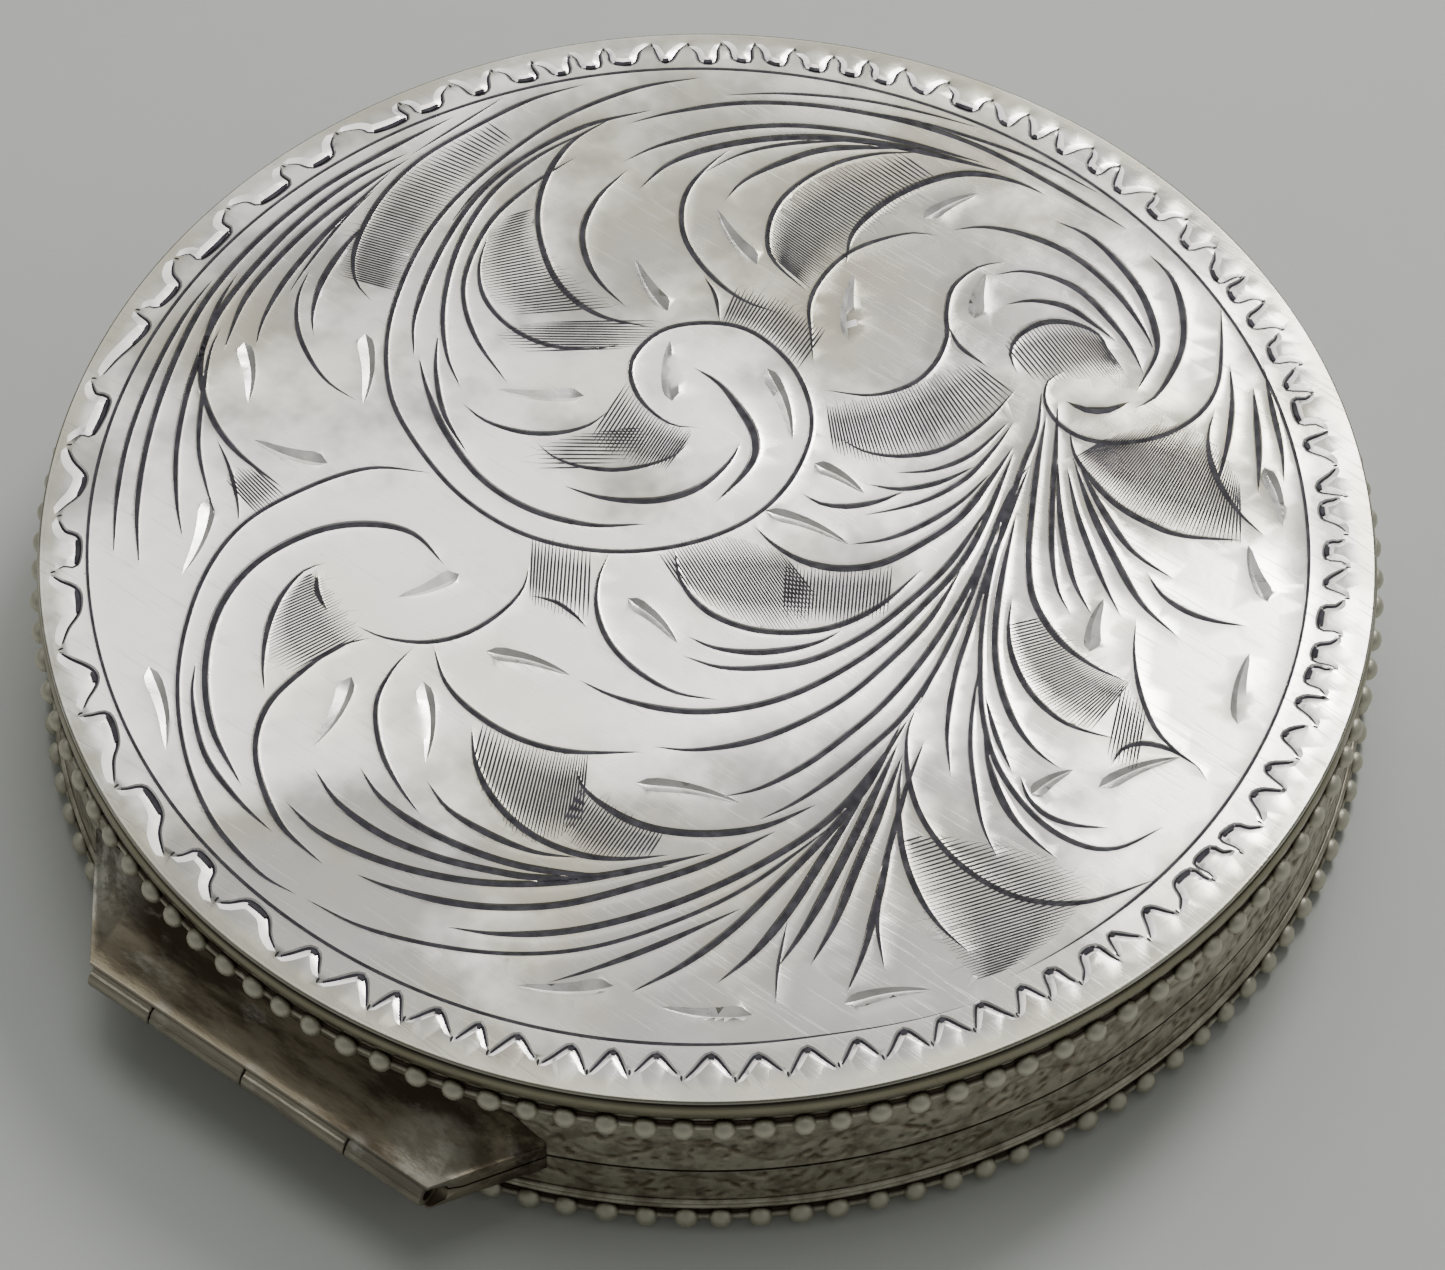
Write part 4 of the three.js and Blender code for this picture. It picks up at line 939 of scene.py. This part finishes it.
# ---- chased side bands ----
def punch_marks(low, high):
    """Where the chasing tools struck, as (turn, height, length, width, lean, depth).

    They make a running scroll on a speckled ground between two punched rows."""
    marks = []
    middle, half = (low + high) / 2, (high - low) / 2
    waves, punches = 50, 230
    for k in range(waves):
        start = 2 * math.pi * k / waves
        side = 1 if k % 2 else -1
        for i in range(6):
            t = i / 5
            turn = start + 2 * math.pi / waves * t
            z = middle + side * half * 0.62 * math.sin(math.pi * t) + rng.uniform(-0.05, 0.05)
            lean = side * 0.9 * math.cos(math.pi * t) + rng.uniform(-0.3, 0.3)
            marks.append((turn, z, 0.3, 0.09, lean, 0.06))
        for i in range(4):
            turn = start + 2 * math.pi / waves * rng.uniform(0.15, 0.95)
            z = middle - side * half * rng.uniform(0.1, 0.7)
            marks.append((turn, z, 0.24, 0.1, rng.uniform(-1.4, 1.4), 0.06))
    for _ in range(420):
        marks.append((rng.uniform(0, 2 * math.pi), middle + half * rng.uniform(-0.8, 0.8), 0.15, 0.1,
                      rng.uniform(-1.5, 1.5), 0.09))
    for row in (-0.84, 0.84):
        for k in range(punches):
            turn = 2 * math.pi * (k + rng.uniform(-0.2, 0.2)) / punches
            marks.append((turn, middle + row * half, 0.11, 0.09, 0.0, 0.055 * rng.uniform(0.3, 1.1)))
    return marks


def chased_wall(name, body, node, metal, inside, low, high, inner, band):
    """A sheet ring from low to high, its inner face at a radius. The relief outside lies within band."""
    rows, count = 20, 1500
    sectors = 400
    outer = [(WALL_RADIUS, low + 0.02)]
    outer += [(WALL_RADIUS, band[0] + (band[1] - band[0]) * i / rows) for i in range(rows + 1)]
    outer += [(WALL_RADIUS, high)]
    profile = [(inner, low), (WALL_RADIUS - 0.03, low)] + outer + [(inner, high)]
    bins = {}
    for mark in punch_marks(*band):
        bins.setdefault(int(mark[0] / (2 * math.pi) * sectors) % sectors, []).append(mark)

    def relief(turn, radius, height):
        if radius < WALL_RADIUS - 1e-6 or not band[0] < height < band[1]:
            return 0.0
        here = int(turn / (2 * math.pi) * sectors)
        total = 0.0
        for k in (here - 1, here, here + 1):
            for at, z, long, thin, lean, deep in bins.get(k % sectors, ()):
                du = ((turn - at + math.pi) % (2 * math.pi) - math.pi) * WALL_RADIUS
                dz = height - z
                a = du * math.cos(lean) + dz * math.sin(lean)
                b = dz * math.cos(lean) - du * math.sin(lean)
                total += deep * math.exp(-(a / long) ** 2 - (b / thin) ** 2)
        return -min(total, 0.11)

    points, faces = lathe(profile, count, relief)
    size = len(profile)
    slots = [1 if i % size == size - 1 else 0 for i in range(len(faces))]
    piece(name, points, faces, body, [metal, inside], [node], 50, slots)


def ridge_wire(metal):
    """Two half-round threads side by side."""
    back, low = 25.385, 1.09
    profile = arc(back, low + 0.125, 0.125, -90, 80, 7) + arc(back, low + 0.375, 0.125, -80, 90, 7)

    def wear(turn, radius, height):
        return 0.0 if radius < back + 0.02 else 0.012 * math.sin(23 * turn) * math.sin(7 * turn + 1)

    points, faces = lathe([(min(r, 25.58), z) for r, z in profile], 480, wear)
    piece("ridge_wire_fine", points, faces, "base", [metal], ["base_ridge_wire"], 60)


def base_plate(metal):
    """Flat bottom: a rubbed foot line near the edge, a slightly sunk middle and a softened rim."""
    under = [(25.36, 0.17), (25.33, 0.08), (25.27, 0.03), (25.18, 0.0), (24.5, 0.0), (24.2, 0.012),
             (23.9, 0.05), (23.6, 0.06), (14.0, 0.075), (6.0, 0.08)]
    upper = [(25.36, 0.47), (25.3, 0.5), (16.0, 0.495), (6.0, 0.49)]
    points, faces = [], []
    rings = add_rings(points, under[::-1] + upper, 288)
    skin(faces, rings)
    cap(points, faces, rings[0], (0, 0, 0.08), flip=True)
    cap(points, faces, rings[-1], (0, 0, 0.49))
    piece("base_plate_fine", points, faces, "base", [metal], ["base_plate"], 30)


def bezel(inside):
    """The thin inner rim that the lid closes over."""
    rounding = arc(24.69, 4.56, 0.19, 0, 180, 10)
    profile = [(24.5, 0.52), (24.88, 0.52), (24.88, 4.55)] + rounding + [(24.5, 4.55)]
    points, faces = lathe(profile, 288)
    piece("bezel_fine", points, faces, "base", [inside], ["base_bezel"], 40)


# ---- hinge ----
def lug_edge(x):
    """Y of the lug's outer edge: straight behind the barrel, then slanting back to the wall."""
    past = max(0.0, abs(x) - LUG_EDGE_HALF)
    root = LUG_ROOTS[x > 0]
    wall_y = math.sqrt(WALL_RADIUS ** 2 - root ** 2)
    return LUG_EDGE_Y - past * (LUG_EDGE_Y - wall_y) / (root - LUG_EDGE_HALF)


def own_span(x, own):
    """Whether x lies along one of the leaf's own knuckles."""
    return any(KNUCKLES[k][0] - 0.05 <= x <= KNUCKLES[k][1] + 0.05 for k in own)


def leaf_row(x, sign, full, own):
    """One upright slice through a hinge leaf, from the wall's foot round the cove to the barrel groove."""
    wall_y = math.sqrt((WALL_RADIUS + 0.02) ** 2 - x * x)
    edge_y = lug_edge(x)
    width = max(0.02, edge_y - wall_y)
    rise = min(full - 0.74, 0.95 * width)
    seam = SEAM + sign * 0.06
    radius = 0.6 if own_span(x, own) else 0.62
    if abs(x) > KNUCKLES[-1][1]:
        radius = 0.6
    row = [(wall_y, seam)]
    reach = HINGE_Y - radius
    if edge_y > reach + 0.03:
        row.append((reach + 0.002, seam))
        top = math.sqrt(max(0.0, radius ** 2 - (edge_y - HINGE_Y) ** 2))
        begin = math.asin(0.06 / radius)
        finish = math.atan2(top, edge_y - HINGE_Y)
        for i in range(1, 9):
            t = math.pi - begin + (finish - math.pi + begin) * i / 8
            row.append((HINGE_Y + radius * math.cos(t), SEAM + sign * radius * math.sin(t)))
    else:
        row.append((edge_y - 0.004, seam))
        for i in range(1, 9):
            row.append((edge_y - 0.002, seam + sign * 0.02 * i))
    lip = SEAM + sign * 0.74
    row.append((edge_y, lip - sign * 0.05))
    row.append((edge_y - min(0.03, width * 0.2), lip))
    row.append((edge_y - min(0.16, width * 0.35), lip + sign * 0.01 * min(1.0, width)))
    inset = min(0.16, width * 0.35)
    for i in range(1, 13):
        t = i / 12
        row.append((edge_y - inset - (width - inset) * t, lip + sign * (0.01 + rise * t ** 1.7)))
    return row


def hinge_leaf(name, body, node, metal, sign, full, own):
    """One half of the lug, above the seam if sign is 1 and below it if sign is -1.

    full is its height at the wall, and own lists the knuckles that are soldered to it.
    """
    stations = [-LUG_EDGE_HALF + 0.4 * i for i in range(41)]
    for side, root in zip((-1, 1), LUG_ROOTS):
        slant = root - 0.1 - LUG_EDGE_HALF
        stations += [side * (LUG_EDGE_HALF + slant * share) for share in (0.05, 0.15, 0.3, 0.5, 0.7, 0.85, 1)]
    for low, high in KNUCKLES:
        stations += [low - 0.051, low - 0.049, high + 0.049, high + 0.051]
    stations.sort()
    points, faces = [], []
    for x in stations:
        points.extend((x, y, z) for y, z in leaf_row(x, sign, full, own))
    loops = number_loops(0, len(stations), len(points) // len(stations))
    skin(faces, loops, flip=sign > 0)
    ends = [tuple(loops[0]), tuple(loops[-1][::-1])]
    faces.extend(ends if sign < 0 else [end[::-1] for end in ends])
    piece(name, points, faces, body, [metal], [node], 32)


def knuckle(order, node, metal):
    """A length of rolled tube with softened ends and the line where the sheet closes on itself."""
    low, high = KNUCKLES[order]
    body = node.split("_")[0]
    around = 40
    profile = [(BORE_RADIUS, low), (BARREL_RADIUS - 0.05, low), (BARREL_RADIUS, low + 0.05)]
    steps = 8
    profile += [(BARREL_RADIUS, low + 0.05 + (high - low - 0.1) * i / steps) for i in range(1, steps)]
    profile += [(BARREL_RADIUS, high - 0.05), (BARREL_RADIUS - 0.05, high), (BORE_RADIUS, high)]
    points, faces = [], []
    size = len(profile)
    for i in range(around):
        turn = 2 * math.pi * i / around
        roll = -0.05 if i == (6 if body == "lid" else 3) else 0.0
        for k, (radius, x) in enumerate(profile):
            dent = 0.008 * math.sin(x * 3.1 + order) if 2 < k < size - 3 else 0.0
            r = radius + (roll - abs(dent) if radius > 0.4 else 0.0)
            points.append((x, HINGE_Y + r * math.cos(turn), SEAM + r * math.sin(turn)))
    skin(faces, number_loops(0, around, size), closed=True, flip=True)
    piece(node + "_fine", points, faces, body, [metal], [node], 35)


def pin(metal):
    """The wire through the knuckles, its ends set back and slightly domed."""
    around = 24
    end = 7.4
    profile = [(0.12, 0.01 - end), (0.22, 0.05 - end), (0.27, 0.12 - end)]
    profile += [(r, -x) for r, x in reversed(profile)]
    points, faces = [], []
    for r, x in profile:
        for i in range(around):
            turn = 2 * math.pi * i / around
            points.append((x, HINGE_Y + r * math.cos(turn), SEAM + r * math.sin(turn)))
    rings = number_loops(0, len(profile), around)
    skin(faces, rings)
    cap(points, faces, rings[0], (-end, HINGE_Y, SEAM))
    cap(points, faces, rings[-1], (end, HINGE_Y, SEAM), flip=True)
    piece("pin_fine", points, faces, "base", [metal], ["hinge_pin"], 30)


# ---- thumb lip ----
def thumb_lip(metal):
    """A small tongue at the front, thin at its edge and hollowed underneath for a finger nail."""
    across, deep = 32, 8
    half = math.radians(7)
    root = WALL_RADIUS + 0.06
    points, faces = [], []
    for side in (1, -1):
        for i in range(across + 1):
            s = -1 + 2 * i / across
            turn = -math.pi / 2 + s * half
            reach = 1.44 * (1 - abs(s) ** 2.6) ** 0.8
            for j in range(deep + 1):
                t = j / deep
                r = root + reach * t
                thick = 0.3 * (1 - 0.75 * t ** 2) + 0.001
                if side < 0:
                    thick *= 1 - 0.35 * math.sin(math.pi * t) * (1 - abs(s))
                points.append((r * math.cos(turn), r * math.sin(turn), 4.0 + side * thick + 0.05 * t))
    size = deep + 1
    lower = (across + 1) * size
    for i in range(across):
        for j in range(deep):
            a = i * size + j
            faces.append((a, a + 1, a + size + 1, a + size))
            b = a + lower
            faces.append((b, b + size, b + size + 1, b + 1))
        a, b = i * size, i * size + lower
        faces.append((a, a + size, b + size, b))
        a, b = a + deep, b + deep
        faces.append((a, b, b + size, a + size))
    for j in range(deep):
        a, b = j, j + lower
        faces.append((a, b, b + 1, a + 1))
        a, b = a + across * size, b + across * size
        faces.append((a, a + 1, b + 1, b))
    piece("thumb_lip_fine", points, faces, "lid", [metal], ["lid_thumb_piece"], 50)


# ---- the room ----
def floor():
    """A plain grey sheet of paper under the box."""
    mesh = bpy.data.meshes.new("floor")
    mesh.from_pydata([(-2, -2, 0), (2, -2, 0), (2, 2, 0), (-2, 2, 0)], [], [(0, 1, 2, 3)])
    ground = bpy.data.objects.new("floor", mesh)
    bpy.context.scene.collection.objects.link(ground)
    m = Nodes("floor_paper")
    colour = m.mix(m.ramp(m.noise(0.02, 2.0), 0.3, 0.7), rgb(0.55, 0.565, 0.535), rgb(0.58, 0.595, 0.565))
    rough = m.ramp(m.noise(0.5, 2.0), 0.3, 0.7, 0.8, 0.9)
    m.finish(colour, rough, m.bump(m.noise(1.5, 4.0), 0.2, 0.05))
    m.shader.inputs["Metallic"].default_value = 0.0
    mesh.materials.append(m.material)


def direction(azimuth, elevation):
    """The way from the box to a place around it, in degrees. Azimuth 0 is at -Y and 90 is at +X."""
    a, e = math.radians(azimuth), math.radians(elevation)
    return Vector((math.sin(a) * math.cos(e), -math.cos(a) * math.cos(e), math.sin(e)))


def softbox(name, azimuth, elevation, away, size, watts):
    """A round lamp that faces the box."""
    lamp = bpy.data.lights.new(name, "AREA")
    lamp.shape = "DISK"
    lamp.size = size
    lamp.energy = watts
    thing = bpy.data.objects.new(name, lamp)
    way = direction(azimuth, elevation)
    thing.location = way * away
    thing.rotation_euler = way.to_track_quat("Z", "Y").to_euler()
    bpy.context.scene.collection.objects.link(thing)


def camera():
    """The photograph's view: from behind the hinge corner, 53 degrees up, 231 mm from the lid."""
    way = direction(azimuth=217, elevation=52.9)
    distance = 231.3 * MM
    data = bpy.data.cameras.new("camera")
    data.sensor_width = 36.0
    data.lens = 151.2
    data.clip_start = 0.01
    thing = bpy.data.objects.new("camera", data)
    bpy.context.scene.collection.objects.link(thing)
    turn = way.to_track_quat("Z", "Y").to_matrix()
    turn = turn @ small_turn(up=0.98467, right=-0.14728, roll=0.3)
    thing.matrix_world = turn.to_4x4()
    thing.location = Vector((0, 0, TOP * MM)) + way * distance
    bpy.context.scene.camera = thing


def small_turn(up, right, roll):
    """The turn, in degrees, that moves the aimed point up and right in the picture, and a roll."""
    up, right, roll = math.radians(up), math.radians(right), math.radians(roll)
    return Matrix.Rotation(-up, 3, "X") @ Matrix.Rotation(right, 3, "Y") @ Matrix.Rotation(roll, 3, "Z")


def world():
    sky = bpy.data.worlds.new("room")
    sky.use_nodes = True
    back = sky.node_tree.nodes["Background"]
    back.inputs["Color"].default_value = (0.97, 1.0, 0.97, 1)
    back.inputs["Strength"].default_value = 0.2
    bpy.context.scene.world = sky


def build():
    metal, chased, beads = polished_silver(), chased_silver(), beaded_silver()
    brown, oxide, inside = tarnished_silver(), patina(), inner_silver()
    bare = bright_silver()
    lid_plate(metal, inside, bare, oxide)
    beading("lid_beads_fine", "lid", "lid_beading", beads, height=6.75)
    beading("base_beads_fine", "base", "base_beading", beads, height=0.58)
    chased_wall("lid_wall_chased", "lid", "lid_wall", chased, inside, low=3.62, high=8.08,
                inner=24.96, band=(3.7, 6.1))
    chased_wall("base_wall_chased", "base", "base_wall", chased, inside, low=0.52, high=3.5,
                inner=24.9, band=(1.64, 3.46))
    ridge_wire(chased)
    base_plate(inside)
    bezel(inside)
    hinge_leaf("lid_leaf_fine", "lid", "lid_hinge_leaf", brown, sign=1, full=2.55, own=[1, 3])
    hinge_leaf("base_leaf_fine", "base", "base_hinge_leaf", brown, sign=-1, full=1.72, own=[0, 2])
    nodes = ["base_knuckle_end", "lid_knuckle_inner", "base_knuckle_inner", "lid_knuckle_end"]
    for order, node in enumerate(nodes):
        knuckle(order, node, brown)
    pin(brown)
    thumb_lip(bare)


floor()
camera()
world()
softbox("key", azimuth=5, elevation=48, away=0.26, size=0.09, watts=0.33)
softbox("mirror_panel", azimuth=42, elevation=50, away=0.55, size=0.46, watts=0.76)
softbox("zenith_panel", azimuth=20, elevation=80, away=0.5, size=0.26, watts=0.36)
softbox("left_panel", azimuth=290, elevation=35, away=0.6, size=0.3, watts=0.1)
softbox("right_panel", azimuth=130, elevation=35, away=0.6, size=0.3, watts=0.1)
build()
